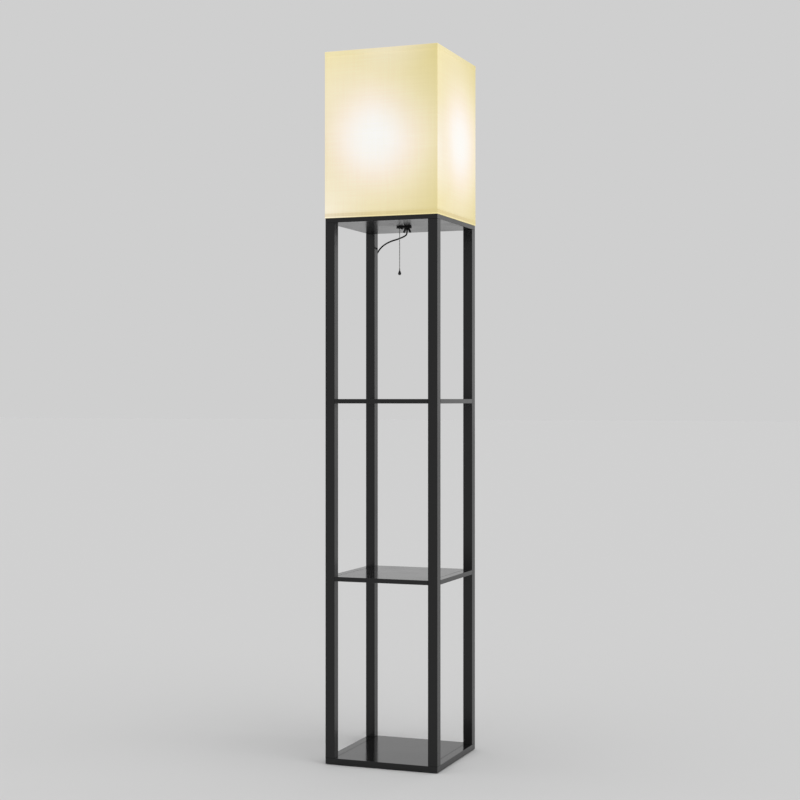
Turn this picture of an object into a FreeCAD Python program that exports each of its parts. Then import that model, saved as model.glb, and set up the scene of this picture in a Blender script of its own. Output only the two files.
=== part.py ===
import FreeCAD, Part
import math
import os

# Square shelf floor lamp: a base, two open shelves and a top board on four jointed posts, with a tall
# square fabric shade round a pull-chain lampholder.
# Millimetres, origin on the floor under the middle, +Z up, front -Y.

Vec = FreeCAD.Vector

# --- frame ---
PLAN = 266.7                    # width and depth of the boards and of the shade
POST = 22.0                     # side of a square post
PAD_HEIGHT = 1.5
BASE_THICKNESS = 13.5
SHELF_THICKNESS = 10.0
TOP_THICKNESS = 10.3
LOWER_SECTION = 402.5           # base to the middle of the lower shelf
MIDDLE_SECTION = 399.0
UPPER_SECTION = 401.0           # middle of the upper shelf to the top board
EDGE_ROUND = 0.8
PAD_RADIUS = 10.0
PAD_INSET = 32.0                # pad centre from the board's edges
SKIN = 4.0                      # outer skin of a post that runs past the shelf's corner
NOTCH_CLEARANCE = 0.2
END_BEVEL = 0.5                 # bevel round a post's foot and head
RAIL_WIDTH = 20.0               # rail glued along a board's left and right edges
SEAM_WIDTH = 1.0                # groove between a board and its rails
SEAM_DEPTH = 0.8

# --- post fasteners ---
THREAD_RADIUS = 3.0
FIT_CLEARANCE = 0.05
INSERT_RADIUS = 5.0
INSERT_LENGTH = 12.0
HOLE_EXTRA = 3.0                # depth of an insert hole past the insert
CLEAR_HOLE_RADIUS = 3.3
HEAD_RADIUS = 5.5
HEAD_HEIGHT = 3.3
HEAD_POCKET_RADIUS = 6.2
BASE_POCKET_DEPTH = 5.0
TOP_POCKET_DEPTH = 3.6
HEX_SOCKET = 4.0                # across flats
HEX_DEPTH = 2.0

# --- shade ---
SHADE_HEIGHT = 373.7
FABRIC = 1.0
HEM_TAPE = 0.4
HEM_HEIGHT = 10.0
SHADE_CORNER = 2.0
RING_WIRE = 1.5                 # radius of the frame's wire
RING_CORNER = 6.0
RING_CLEARANCE = 0.3
ARM_WIRE = 1.4

# --- pull switch, its chain and the plate under the top board ---
PLATE_LENGTH = 36.0
PLATE_WIDTH = 20.0
PLATE_THICKNESS = 4.0
PLATE_X = 5.7
PLATE_SCREWS = ((2.4, -6.3), (-1.6, 6.6))
PLATE_SCREW_RADIUS = 1.3
PLATE_SCREW_HEAD = 2.65
PLATE_SCREW_DOME = 2.1
PLATE_SCREW_REACH = 5.0         # how far a plate screw goes into the top board
CHAIN_X = -5.2
NOZZLE_RADIUS = 3.4
NOZZLE_BORE = 1.9
NOZZLE_BELOW_PLATE = 0.4
NOZZLE_NUT_RADIUS = 5.0
NOZZLE_NUT_HEIGHT = 2.4
SWITCH_LOW_X = -11.0
SWITCH_HIGH_X = 8.6
SWITCH_HALF_Y = 9.0
SWITCH_HEIGHT = 24.0
SWITCH_WALL = 1.5
DRUM_RADIUS = 5.0
DRUM_FLANGE = 5.6
DRUM_HALF_GROOVE = 1.6
DRUM_PIN = 1.0
BEAD_RADIUS = 1.2
BEAD_WIRE = 0.45
BEAD_PITCH = 3.2
BEAD_GAP = 0.2
CHAIN_LEAD = 32.0               # chain above the nozzle's mouth
CHAIN_UPPER = 32.0
CHAIN_LOWER = 60.8
CONNECTOR_RADIUS = 1.45
CONNECTOR_HEIGHT = 3.2
PULL_RADIUS = 3.85
PULL_HEIGHT = 11.4
PULL_NECK = 0.9
PULL_SHOULDER = 2.55             # radius between the pull's neck and its belly
PULL_SHOULDER_RISE = 4.0         # height of that radius above the belly

# --- cord grip ---
CORD_X = 13.2
GRIP_RADIUS = 4.0
GRIP_FLANGE_RADIUS = 5.4
GRIP_FLANGE = 1.5
LEG_LENGTH = 10.0
LEG_WIDTH = 6.0
LEG_THICKNESS = 3.4
LEG_GAP = 0.5                   # between a leg's root and the cord
LEG_SPLAY = 24.0                # degrees from upright

# --- wiring box, nipple and lampholder ---
BOX_LOW_X = -22.0
BOX_HIGH_X = 30.0
BOX_HALF_Y = 18.0
BOX_HEIGHT = 36.0
BOX_WALL = 1.6
TAB_LENGTH = 11.0
TAB_SCREW_RADIUS = 1.6
NIPPLE_RADIUS = 5.0
NIPPLE_BORE = 3.2
NUT_ACROSS = 15.0
NUT_HEIGHT = 3.0
NIPPLE_EXPOSED = 10.0           # bare nipple between the box nut and the holder nut
CAP_STEP = 1.0                  # how far the cap stands in from the shell
CAP_HEIGHT = 16.0
HOLDER_WALL = 1.5
SHELL_RADIUS = 19.0
SHELL_HEIGHT = 44.0
SHELL_WALL = 1.2
SHELL_LIP = 1.6                 # inward lip at the shell's foot
SHOULDER_WIDTH = 4.0
SHOULDER_RISE = 18.0
SHOULDER_THICKNESS = 2.0
BLOCK_CLEARANCE = 0.2           # from the terminal block to the shell's lip
BLOCK_HEIGHT = 14.0
TERMINAL_OFFSET = 10.0          # from the axis to each terminal screw
SCREW_SHELL_WALL = 0.7
SCREW_SHELL_HEIGHT = 32.0
CONTACT_HEIGHT = 7.7
CONTACT_HOLE_RADIUS = 6.5       # in the screw shell's floor
FITTER_WIDTH = 7.0
FITTER_THICKNESS = 1.5
RING_NUT_HEIGHT = 8.5

# --- bulb ---
BULB_SCREW_RADIUS = 13.0
BULB_CLEARANCE = 0.4
THREAD_PITCH = 3.63
THREAD_DEPTH = 0.8
BULB_CAP_HEIGHT = 22.0
BULB_TIP_HEIGHT = 6.0
BULB_NECK_HEIGHT = 30.0
GLOBE_RADIUS = 30.0
GLOBE_WALL = 1.2

# --- cord ---
CORD = 3.6                      # diameter
WIRE = 1.6                      # diameter of one insulated conductor
WIRE_TURN = 3.0                 # how far over the switch the wires turn upwards
POST_LINE = (-124.0, 137.5)     # the cord's line behind the rear left post
HANK_TURN = 21.5                # degrees, the hank's plane from the +Y direction
HANK_WIDTH = 40.0               # between the outermost runs
HANK_STEP = 4.5
HANK_LAYER = 4.1
HANK_RUN = 54.0
HANK_WAIST = 6.0                # how far the tie draws each run in
HANK_FLOOR = 0.4
TAIL_RISE_START = 34.0
TAIL_RISE_END = 48.0
TAIL_END = 56.0                 # where the cord meets the plug's strain relief
TIE_HEIGHT = 6.0
TIE_THICKNESS = 0.8
CLIP_HEIGHTS = (1040.0, 720.0, 400.0, 160.0)
CLIP_LENGTH = 8.0
CLIP_WALL = 1.2
CLIP_SLACK = 0.5
PLUG_LENGTH = 26.0
PLUG_WIDTH = 22.0
PLUG_THICKNESS = 11.0
RELIEF_LENGTH = 20.0
BLADE_LENGTH = 16.0
BLADE_WIDTH = 6.35
BLADE_THICKNESS = 1.5
BLADE_SPACING = 12.7

# --- levels that follow ---
HALF = PLAN / 2
POST_AT = HALF - POST / 2
BASE_TOP = PAD_HEIGHT + BASE_THICKNESS
LOWER_JOINT = BASE_TOP + LOWER_SECTION
UPPER_JOINT = LOWER_JOINT + MIDDLE_SECTION
BOARD_UNDER = UPPER_JOINT + UPPER_SECTION
BOARD_TOP = BOARD_UNDER + TOP_THICKNESS
SHADE_TOP = BOARD_TOP + SHADE_HEIGHT
PLATE_UNDER = BOARD_UNDER - PLATE_THICKNESS
MOUTH = PLATE_UNDER - NOZZLE_BELOW_PLATE
FIRST_BEAD = MOUTH - 0.3 - BEAD_RADIUS
LEAD_BEADS = round(CHAIN_LEAD / BEAD_PITCH)
UPPER_BEADS = round(CHAIN_UPPER / BEAD_PITCH)
LOWER_BEADS = round(CHAIN_LOWER / BEAD_PITCH)
BOX_TOP = BOARD_TOP + BOX_HEIGHT
HOLDER_UNDER = BOX_TOP + NUT_HEIGHT + NIPPLE_EXPOSED + NUT_HEIGHT
CAP_TOP = HOLDER_UNDER + CAP_HEIGHT
CAP_RADIUS = SHELL_RADIUS - CAP_STEP
SHOULDER_RADIUS = SHELL_RADIUS + SHOULDER_WIDTH
BLOCK_RADIUS = SHELL_RADIUS - SHELL_WALL - SHELL_LIP - BLOCK_CLEARANCE
FITTER_RADIUS = SHELL_RADIUS + FITTER_WIDTH
NIPPLE_TOP = HOLDER_UNDER + HOLDER_WALL + NUT_HEIGHT + 1.0
BLOCK_UNDER = NIPPLE_TOP + 0.4
BLOCK_TOP = BLOCK_UNDER + BLOCK_HEIGHT
SHELL_TOP = CAP_TOP + SHELL_HEIGHT
SHOULDER_TOP = CAP_TOP + SHOULDER_RISE + SHOULDER_THICKNESS
BULB_UNDER = BLOCK_TOP + CONTACT_HEIGHT + 0.3
BULB_CAP_UNDER = BULB_UNDER + BULB_TIP_HEIGHT
NECK_UNDER = BULB_CAP_UNDER + BULB_CAP_HEIGHT
GLOBE_UNDER = NECK_UNDER + BULB_NECK_HEIGHT
GLOBE_MOUTH = 22.4              # radius where the globe meets the neck
GLOBE_CENTRE = GLOBE_UNDER + math.sqrt(GLOBE_RADIUS ** 2 - GLOBE_MOUTH ** 2)
CORD_EXIT = PLATE_UNDER - GRIP_FLANGE
HANK_EXIT_BEND = (HANK_WIDTH + HANK_STEP) / 2
HANK_LOW = HANK_FLOOR + CORD / 2 + HANK_EXIT_BEND
HANK_HIGH = HANK_LOW + HANK_RUN
CORNERS = {
    "front_left": (-1, -1),
    "front_right": (1, -1),
    "rear_left": (-1, 1),
    "rear_right": (1, 1),
}

# The cord's free route from the grip to the hank, chosen by hand.
CORD_ROUTE = [
    (CORD_X, 0.0, CORD_EXIT),
    (CORD_X, 0.0, 1204.8),
    (10.8, 2.7, 1199.2),
    (4.7, 9.8, 1196.9),
    (-7.1, 23.4, 1195.4),
    (-27.5, 46.8, 1193.7),
    (-52.4, 75.5, 1193.6),
    (-75.4, 101.9, 1191.5),
    (-95.0, 124.5, 1187.4),
    (-111.4, 143.4, 1181.0),
    (-122.0, 149.8, 1168.5),
    (-126.0, 145.8, 1142.0),
    (-125.6, 140.4, 1108.0),
    (-124.4, 137.8, 1066.0),
    (-123.6, 137.3, 1014.0),
    (-124.5, 137.9, 958.0),
    (-124.2, 137.6, 900.0),
    (-123.4, 137.9, 841.0),
    (-123.9, 137.3, 782.0),
    (-124.1, 137.5, 724.0),
    (-123.6, 138.0, 665.0),
    (-124.4, 137.9, 606.0),
    (-124.6, 137.4, 548.0),
    (-124.1, 137.8, 490.0),
    (-123.8, 137.5, 432.0),
    (-124.1, 137.4, 374.0),
    (-124.5, 138.0, 316.0),
    (-124.3, 138.1, 258.0),
    (-123.7, 137.5, 204.0),
    (-123.9, 137.4, 156.0),
    (POST_LINE[0], POST_LINE[1], 116.0),
    (POST_LINE[0], POST_LINE[1], HANK_HIGH),
]


# --- shapes used again and again ---

def block(low, high):
    """Rectangular block between two opposite corners."""
    size = [b - a for a, b in zip(low, high)]
    return Part.makeBox(size[0], size[1], size[2], Vec(*low))


def rod(radius, low, high, x=0.0, y=0.0):
    """Upright round bar."""
    return Part.makeCylinder(radius, high - low, Vec(x, y, low))


def sleeve(outer, inner, low, high, x=0.0, y=0.0):
    """Upright round tube."""
    return rod(outer, low, high, x, y).cut(rod(inner, low - 1, high + 1, x, y))


def hexagon(across, low, high, x=0.0, y=0.0):
    """Upright hexagonal bar, given across its flats."""
    radius = across / math.sqrt(3)
    points = [Vec(x + radius * math.cos(k * math.pi / 3), y + radius * math.sin(k * math.pi / 3), low)
              for k in range(7)]
    return Part.Face(Part.makePolygon(points)).extrude(Vec(0, 0, high - low))


def turned(profile, x=0.0, y=0.0):
    """Solid turned about an upright axis from (radius, height) points."""
    points = [Vec(x + radius, y, height) for radius, height in profile]
    face = Part.Face(Part.makePolygon(points + points[:1]))
    return face.revolve(Vec(x, y, 0), Vec(0, 0, 1), 360)


def upright_edges(shape, height):
    """The upright edges of a shape that are at least this long."""
    found = []
    for edge in shape.Edges:
        box = edge.BoundBox
        if box.ZLength > height - 0.01 and box.XLength + box.YLength < 0.01:
            found.append(edge)
    return found


def square_pillar(half, corner, low, high):
    """Square block about the lamp's axis with rounded upright corners."""
    pillar = block((-half, -half, low), (half, half, high))
    return pillar.makeFillet(corner, upright_edges(pillar, high - low))


def square_tube(outer_half, inner_half, corner, low, high):
    """Square wall about the lamp's axis."""
    inner_corner = max(corner - (outer_half - inner_half), 0.3)
    inside = square_pillar(inner_half, inner_corner, low - 1, high + 1)
    return square_pillar(outer_half, corner, low, high).cut(inside)


def swept(path, radius, start, heading):
    """Round tube along a smooth path."""
    profile = Part.Wire(Part.makeCircle(radius, start, heading))
    return path.makePipeShell([profile], True, False)


def rounded_route(points):
    """Straight runs joined by tangent arcs that are as large as their runs allow."""
    corners = [Vec(*point) for point in points]
    edges = []
    radii = []
    start = corners[0]
    for before, corner, after in zip(corners, corners[1:], corners[2:]):
        back = before - corner
        ahead = after - corner
        reach = 0.45 * min(back.Length, ahead.Length)
        half_turn = (math.pi - back.getAngle(ahead)) / 2
        radius = reach / math.tan(half_turn)
        back.normalize()
        ahead.normalize()
        inward = (back + ahead).normalize()
        enter = corner + back * reach
        leave = corner + ahead * reach
        middle = corner + inward * (radius / math.cos(half_turn) - radius)
        edges.append(Part.LineSegment(start, enter).toShape())
        edges.append(Part.Arc(enter, middle, leave).toShape())
        radii.append(radius)
        start = leave
    edges.append(Part.LineSegment(start, corners[-1]).toShape())
    return Part.Wire(edges), radii


def route_tube(points, radius):
    """Round tube along a rounded route, with its path and the radii of its bends."""
    path, radii = rounded_route(points)
    first = Vec(*points[0])
    tube = swept(path, radius, first, Vec(*points[1]) - first)
    return tube, path, radii


def wire_tube(points, radius):
    """Round tube along a rounded route."""
    return route_tube(points, radius)[0]


def save(name, *solids):
    """Write one sub-part, as one solid or a group of like solids."""
    shape = solids[0] if len(solids) == 1 else Part.makeCompound(list(solids))
    shape.exportStep("parts/" + name + ".step")


# --- frame ---

def board(low, thickness):
    """Square board with lightly rounded edges."""
    slab = square_pillar(HALF, EDGE_ROUND, low, low + thickness)
    rims = [edge for edge in slab.Edges if edge.BoundBox.ZLength < 0.01]
    return slab.makeFillet(EDGE_ROUND / 2, rims)


def at_corners(make, low, high, *sizes):
    """One upright piece at each post's centre line."""
    return [make(*sizes, low, high, x * POST_AT, y * POST_AT) for x, y in CORNERS.values()]


def cut_all(shape, tools):
    """Take every tool away from a shape."""
    for tool in tools:
        shape = shape.cut(tool)
    return shape


def cut_seams(slab, top):
    """Groove the joints between a board and its rails, from the front posts to the rear ones."""
    end = HALF - POST - NOTCH_CLEARANCE
    for side in (-1, 1):
        x = side * (HALF - RAIL_WIDTH)
        low = (x - SEAM_WIDTH / 2, -end, top - SEAM_DEPTH)
        slab = slab.cut(block(low, (x + SEAM_WIDTH / 2, end, top + 1)))
    return slab


def base_board():
    """Bottom board, bored for the bolts that come up into the posts."""
    slab = cut_seams(board(PAD_HEIGHT, BASE_THICKNESS), BASE_TOP)
    slab = cut_all(slab, at_corners(rod, PAD_HEIGHT - 1, BASE_TOP + 1, CLEAR_HOLE_RADIUS))
    return cut_all(slab, at_corners(rod, PAD_HEIGHT - 1, PAD_HEIGHT + BASE_POCKET_DEPTH, HEAD_POCKET_RADIUS))


def foot_pads():
    """Felt pads under the base."""
    at = HALF - PAD_INSET
    return [rod(PAD_RADIUS, 0, PAD_HEIGHT, x * at, y * at) for x, y in CORNERS.values()]


def bolt(head_low, shank_end, up, x, y):
    """Hexagon-socket bolt; up tells which way its shank points."""
    head_high = head_low + HEAD_HEIGHT
    head = rod(HEAD_RADIUS, head_low, head_high, x, y)
    if up:
        socket = hexagon(HEX_SOCKET, head_low - 1, head_low + HEX_DEPTH, x, y)
        shank = rod(THREAD_RADIUS, head_high - 0.5, shank_end, x, y)
    else:
        socket = hexagon(HEX_SOCKET, head_high - HEX_DEPTH, head_high + 1, x, y)
        shank = rod(THREAD_RADIUS, shank_end, head_low + 0.5, x, y)
    return head.fuse(shank).cut(socket).removeSplitter()


def base_bolts():
    """Bolts from under the base into the lower post sections."""
    head_low = PAD_HEIGHT + BASE_POCKET_DEPTH - HEAD_HEIGHT
    end = BASE_TOP + INSERT_LENGTH - 1
    return [bolt(head_low, end, True, x * POST_AT, y * POST_AT) for x, y in CORNERS.values()]


def top_bolts():
    """Bolts from the top board down into the upper post sections."""
    head_low = BOARD_TOP - TOP_POCKET_DEPTH
    end = BOARD_UNDER - INSERT_LENGTH + 1
    return [bolt(head_low, end, False, x * POST_AT, y * POST_AT) for x, y in CORNERS.values()]


def rebate(side_x, side_y, low, high):
    """The inner corner of a post that gives way to a shelf's corner."""
    near = POST_AT - POST / 2 - 1
    far = HALF - SKIN
    xs = sorted((side_x * near, side_x * far))
    ys = sorted((side_y * near, side_y * far))
    return block((xs[0], ys[0], low), (xs[1], ys[1], high))


def rims_at(section, levels):
    """Edges round a post's ends that lie at the given levels."""
    flat = [edge for edge in section.Edges if edge.BoundBox.ZLength < 0.01]
    return [edge for edge in flat if min(abs(edge.BoundBox.ZMin - z) for z in levels) < 0.01]


def post_section(side_x, side_y, low, high, low_rebate, high_rebate):
    """One length of a square post, with its insert holes and the rebates for a shelf."""
    x = side_x * POST_AT
    y = side_y * POST_AT
    half = POST / 2
    section = block((x - half, y - half, low), (x + half, y + half, high))
    section = section.makeFillet(EDGE_ROUND, upright_edges(section, high - low))
    bare_ends = [level for level, rebated in ((low, low_rebate), (high, high_rebate)) if not rebated]
    if bare_ends:
        section = section.makeChamfer(END_BEVEL, rims_at(section, bare_ends))
    low_seat = low + (SHELF_THICKNESS / 2 if low_rebate else 0)
    high_seat = high - (SHELF_THICKNESS / 2 if high_rebate else 0)
    if low_rebate:
        section = section.cut(rebate(side_x, side_y, low - 1, low_seat))
    if high_rebate:
        section = section.cut(rebate(side_x, side_y, high_seat, high + 1))
    depth = INSERT_LENGTH + HOLE_EXTRA
    radius = INSERT_RADIUS + FIT_CLEARANCE
    section = section.cut(rod(radius, low_seat - 1, low_seat + depth, x, y))
    return section.cut(rod(radius, high_seat - depth, high_seat + 1, x, y))


def insert_seats():
    """The lower end of every threaded insert."""
    half = SHELF_THICKNESS / 2
    seats = [BASE_TOP, BOARD_UNDER - INSERT_LENGTH]
    for joint in (LOWER_JOINT, UPPER_JOINT):
        seats += [joint - half - INSERT_LENGTH, joint + half]
    return seats


def threaded_inserts():
    """Brass inserts in both ends of every post section."""
    inserts = []
    for seat in insert_seats():
        bore = THREAD_RADIUS + FIT_CLEARANCE
        inserts += at_corners(sleeve, seat, seat + INSERT_LENGTH, INSERT_RADIUS, bore)
    return inserts


def joint_studs(joint):
    """Double-ended studs that draw two post sections together through a shelf's corners."""
    reach = SHELF_THICKNESS / 2 + INSERT_LENGTH - 1
    return at_corners(rod, joint - reach, joint + reach, THREAD_RADIUS)


def shelf(joint):
    """Shelf whose notched corners are clamped between the post sections."""
    low = joint - SHELF_THICKNESS / 2
    slab = cut_seams(board(low, SHELF_THICKNESS), low + SHELF_THICKNESS)
    post_inner = HALF - POST - NOTCH_CLEARANCE
    tab = HALF - SKIN - NOTCH_CLEARANCE
    for side_x, side_y in CORNERS.values():
        xs = sorted((side_x * post_inner, side_x * (HALF + 1)))
        ys = sorted((side_y * post_inner, side_y * (HALF + 1)))
        notch = block((xs[0], ys[0], low - 1), (xs[1], ys[1], low + SHELF_THICKNESS + 1))
        xs = sorted((side_x * (post_inner - 1), side_x * tab))
        ys = sorted((side_y * (post_inner - 1), side_y * tab))
        kept = block((xs[0], ys[0], low - 2), (xs[1], ys[1], low + SHELF_THICKNESS + 2))
        slab = slab.cut(notch.cut(kept))
    return cut_all(slab, at_corners(rod, low - 1, low + SHELF_THICKNESS + 1, CLEAR_HOLE_RADIUS))


def top_board():
    """Board under the shade, bored for its bolts, the switch's nozzle and the cord's grip."""
    slab = board(BOARD_UNDER, TOP_THICKNESS)
    slab = cut_all(slab, at_corners(rod, BOARD_UNDER - 1, BOARD_TOP + 1, CLEAR_HOLE_RADIUS))
    slab = cut_all(slab, at_corners(rod, BOARD_TOP - TOP_POCKET_DEPTH, BOARD_TOP + 1, HEAD_POCKET_RADIUS))
    slab = slab.cut(rod(NOZZLE_RADIUS + 0.2, BOARD_UNDER - 1, BOARD_TOP + 1, CHAIN_X))
    slab = slab.cut(rod(GRIP_RADIUS + 0.1, BOARD_UNDER - 1, BOARD_TOP + 1, CORD_X))
    for x, y in PLATE_SCREWS:
        hole_end = BOARD_UNDER + PLATE_SCREW_REACH + 1
        slab = slab.cut(rod(PLATE_SCREW_RADIUS + FIT_CLEARANCE, BOARD_UNDER - 1, hole_end, x, y))
    for x in tab_screws():
        slab = slab.cut(rod(TAB_SCREW_RADIUS + FIT_CLEARANCE, BOARD_TOP - 8, BOARD_TOP + 1, x))
    return slab


# --- hub under the top board ---

def hub_plate():
    """Round-ended cover plate with the nozzle's and the cord grip's holes."""
    radius = PLATE_WIDTH / 2
    reach = PLATE_LENGTH / 2 - radius
    low, high = PLATE_UNDER, BOARD_UNDER
    plate = block((PLATE_X - reach, -radius, low), (PLATE_X + reach, radius, high))
    plate = plate.fuse(rod(radius, low, high, PLATE_X - reach)).fuse(rod(radius, low, high, PLATE_X + reach))
    plate = plate.removeSplitter()
    plate = plate.cut(rod(NOZZLE_RADIUS + 0.1, low - 1, high + 1, CHAIN_X))
    pocket = NOZZLE_NUT_RADIUS + 0.3
    plate = plate.cut(rod(pocket, high - NOZZLE_NUT_HEIGHT - 0.1, high + 1, CHAIN_X))
    plate = plate.cut(rod(GRIP_RADIUS + 0.1, low - 1, high + 1, CORD_X))
    for x, y in PLATE_SCREWS:
        plate = plate.cut(rod(PLATE_SCREW_RADIUS + 0.1, low - 1, high + 1, x, y))
    return plate


def plate_screws():
    """Small dome-headed screws that hold the cover plate to the board."""
    dome = PLATE_SCREW_DOME
    ball = (PLATE_SCREW_HEAD ** 2 + dome ** 2) / (2 * dome)
    low = PLATE_UNDER - dome
    screws = []
    for x, y in PLATE_SCREWS:
        head = Part.makeSphere(ball, Vec(x, y, low + ball))
        head = head.common(rod(PLATE_SCREW_HEAD + 1, low - 1, PLATE_UNDER, x, y))
        shank = rod(PLATE_SCREW_RADIUS, PLATE_UNDER - 0.3, BOARD_UNDER + PLATE_SCREW_REACH, x, y)
        reach = PLATE_SCREW_HEAD + 1
        slot = block((x - reach, y - 0.35, low - 1), (x + reach, y + 0.35, low + 0.8))
        screws.append(head.fuse(shank).cut(slot).removeSplitter())
    return screws


def nozzle_nut():
    """Round nut that holds the switch's nozzle, hidden in the plate."""
    low = BOARD_UNDER - NOZZLE_NUT_HEIGHT
    return sleeve(NOZZLE_NUT_RADIUS, NOZZLE_RADIUS + FIT_CLEARANCE, low, BOARD_UNDER, CHAIN_X)


def cord_grip():
    """Strain-relief bush with two splayed legs beside the cord."""
    low = PLATE_UNDER - GRIP_FLANGE
    grip = rod(GRIP_RADIUS, low, BOARD_TOP + 1.5, CORD_X)
    grip = grip.fuse(rod(GRIP_FLANGE_RADIUS, low, PLATE_UNDER, CORD_X))
    half = LEG_THICKNESS / 2
    for side in (-1, 1):
        root = CORD_X + side * (CORD / 2 + half + LEG_GAP)
        tip = low - LEG_LENGTH + half
        leg = block((root - half, -LEG_WIDTH / 2, tip), (root + half, LEG_WIDTH / 2, low + 0.8))
        leg = leg.fuse(crosswise_rod(half, -LEG_WIDTH / 2, LEG_WIDTH / 2, root, tip))
        leg.rotate(Vec(root, 0, low), Vec(0, 1, 0), -side * LEG_SPLAY)
        grip = grip.fuse(leg)
    grip = grip.cut(block((CORD_X - 9, -9, PLATE_UNDER + 0.01), (CORD_X - GRIP_RADIUS, 9, PLATE_UNDER + 3)))
    grip = grip.cut(block((CORD_X + GRIP_RADIUS, -9, PLATE_UNDER + 0.01), (CORD_X + 9, 9, PLATE_UNDER + 3)))
    return grip.cut(rod(CORD / 2 + FIT_CLEARANCE, CORD_EXIT - 9, BOARD_TOP + 3, CORD_X)).removeSplitter()


# --- pull switch and chain ---

def drum_axis():
    """Where the switch drum's axis lies, beside the chain."""
    return CHAIN_X + BEAD_RADIUS + 0.3 + DRUM_RADIUS, BOARD_TOP + SWITCH_HEIGHT / 2


def crosswise_rod(radius, low_y, high_y, x, z):
    """Round bar along Y."""
    return Part.makeCylinder(radius, high_y - low_y, Vec(x, low_y, z), Vec(0, 1, 0))


def switch_body():
    """Switch case with its threaded nozzle down through the board."""
    wall = SWITCH_WALL
    half = SWITCH_HALF_Y
    high = BOARD_TOP + SWITCH_HEIGHT
    outer = block((SWITCH_LOW_X, -half, BOARD_TOP), (SWITCH_HIGH_X, half, high))
    inner = block((SWITCH_LOW_X + wall, -half + wall, BOARD_TOP + wall),
                  (SWITCH_HIGH_X - wall, half - wall, high - wall))
    body = outer.cut(inner).fuse(rod(NOZZLE_RADIUS, MOUTH, BOARD_TOP + wall / 2, CHAIN_X))
    body = body.cut(rod(NOZZLE_BORE, MOUTH - 1, BOARD_TOP + wall + 1, CHAIN_X))
    x, z = drum_axis()
    bearing = SWITCH_HALF_Y - wall + 1
    return body.cut(crosswise_rod(DRUM_PIN + FIT_CLEARANCE, -bearing, bearing, x, z)).removeSplitter()


def switch_drum():
    """Ratchet drum that the chain turns, on its own pins."""
    x, z = drum_axis()
    groove = DRUM_HALF_GROOVE
    drum = crosswise_rod(DRUM_RADIUS, -groove, groove, x, z)
    for side in (-1, 1):
        low, high = sorted((side * groove, side * (groove + 1.2)))
        drum = drum.fuse(crosswise_rod(DRUM_FLANGE, low, high, x, z))
    pin = SWITCH_HALF_Y - SWITCH_WALL + 0.8
    return drum.fuse(crosswise_rod(DRUM_PIN, -pin, pin, x, z)).removeSplitter()


def bead_string(x, low_bead, count, wire_low, wire_high):
    """Beads on a wire, turned as one piece; the wire's ends stand out below and above."""
    lift = math.sqrt(BEAD_RADIUS ** 2 - BEAD_WIRE ** 2)
    edges = []

    def line(a, b):
        edges.append(Part.LineSegment(Vec(x + a[0], 0, a[1]), Vec(x + b[0], 0, b[1])).toShape())

    if wire_low is None:
        last = (0.0, low_bead - BEAD_RADIUS)
    else:
        last = (BEAD_WIRE, low_bead - lift)
        line((0.0, wire_low), (BEAD_WIRE, wire_low))
        line((BEAD_WIRE, wire_low), last)
    for k in range(count):
        centre = low_bead + k * BEAD_PITCH
        if k > 0:
            line(last, (BEAD_WIRE, centre - lift))
            last = (BEAD_WIRE, centre - lift)
        end = (BEAD_WIRE, centre + lift)
        if k == count - 1 and wire_high is None:
            end = (0.0, centre + BEAD_RADIUS)
        edges.append(Part.Arc(Vec(x + last[0], 0, last[1]), Vec(x + BEAD_RADIUS, 0, centre),
                              Vec(x + end[0], 0, end[1])).toShape())
        last = end
    if wire_high is not None:
        line(last, (BEAD_WIRE, wire_high))
        line((BEAD_WIRE, wire_high), (0.0, wire_high))
        last = (0.0, wire_high)
    foot = (0.0, low_bead - BEAD_RADIUS if wire_low is None else wire_low)
    line(last, foot)
    return Part.Face(Part.Wire(edges)).revolve(Vec(x, 0, 0), Vec(0, 0, 1), 360)


def chain_lead():
    """The chain's top, from the drum down through the nozzle."""
    wire_end = FIRST_BEAD + BEAD_RADIUS + BEAD_GAP
    return bead_string(CHAIN_X, FIRST_BEAD + BEAD_PITCH, LEAD_BEADS, wire_end, None)


def chain_upper():
    """The chain's upper half below the nozzle."""
    lowest = FIRST_BEAD - (UPPER_BEADS - 1) * BEAD_PITCH
    wire_end = lowest - BEAD_PITCH + BEAD_RADIUS + BEAD_GAP
    return bead_string(CHAIN_X, lowest, UPPER_BEADS, wire_end, None)


def chain_end():
    """Height of the chain's lowest bead."""
    return FIRST_BEAD - (UPPER_BEADS + LOWER_BEADS - 1) * BEAD_PITCH


def chain_lower():
    """The chain's lower half, down into its connector."""
    return bead_string(CHAIN_X, chain_end(), LOWER_BEADS, None, None)


def chain_connector():
    """Small barrel that clasps the last bead and the pull."""
    high = chain_end() - BEAD_RADIUS - 0.1
    low = high - CONNECTOR_HEIGHT
    radius = CONNECTOR_RADIUS
    return turned([(0, low), (radius * 0.6, low), (radius, low + 0.8), (radius, high - 0.8),
                   (radius * 0.6, high), (0, high)], CHAIN_X)


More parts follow.
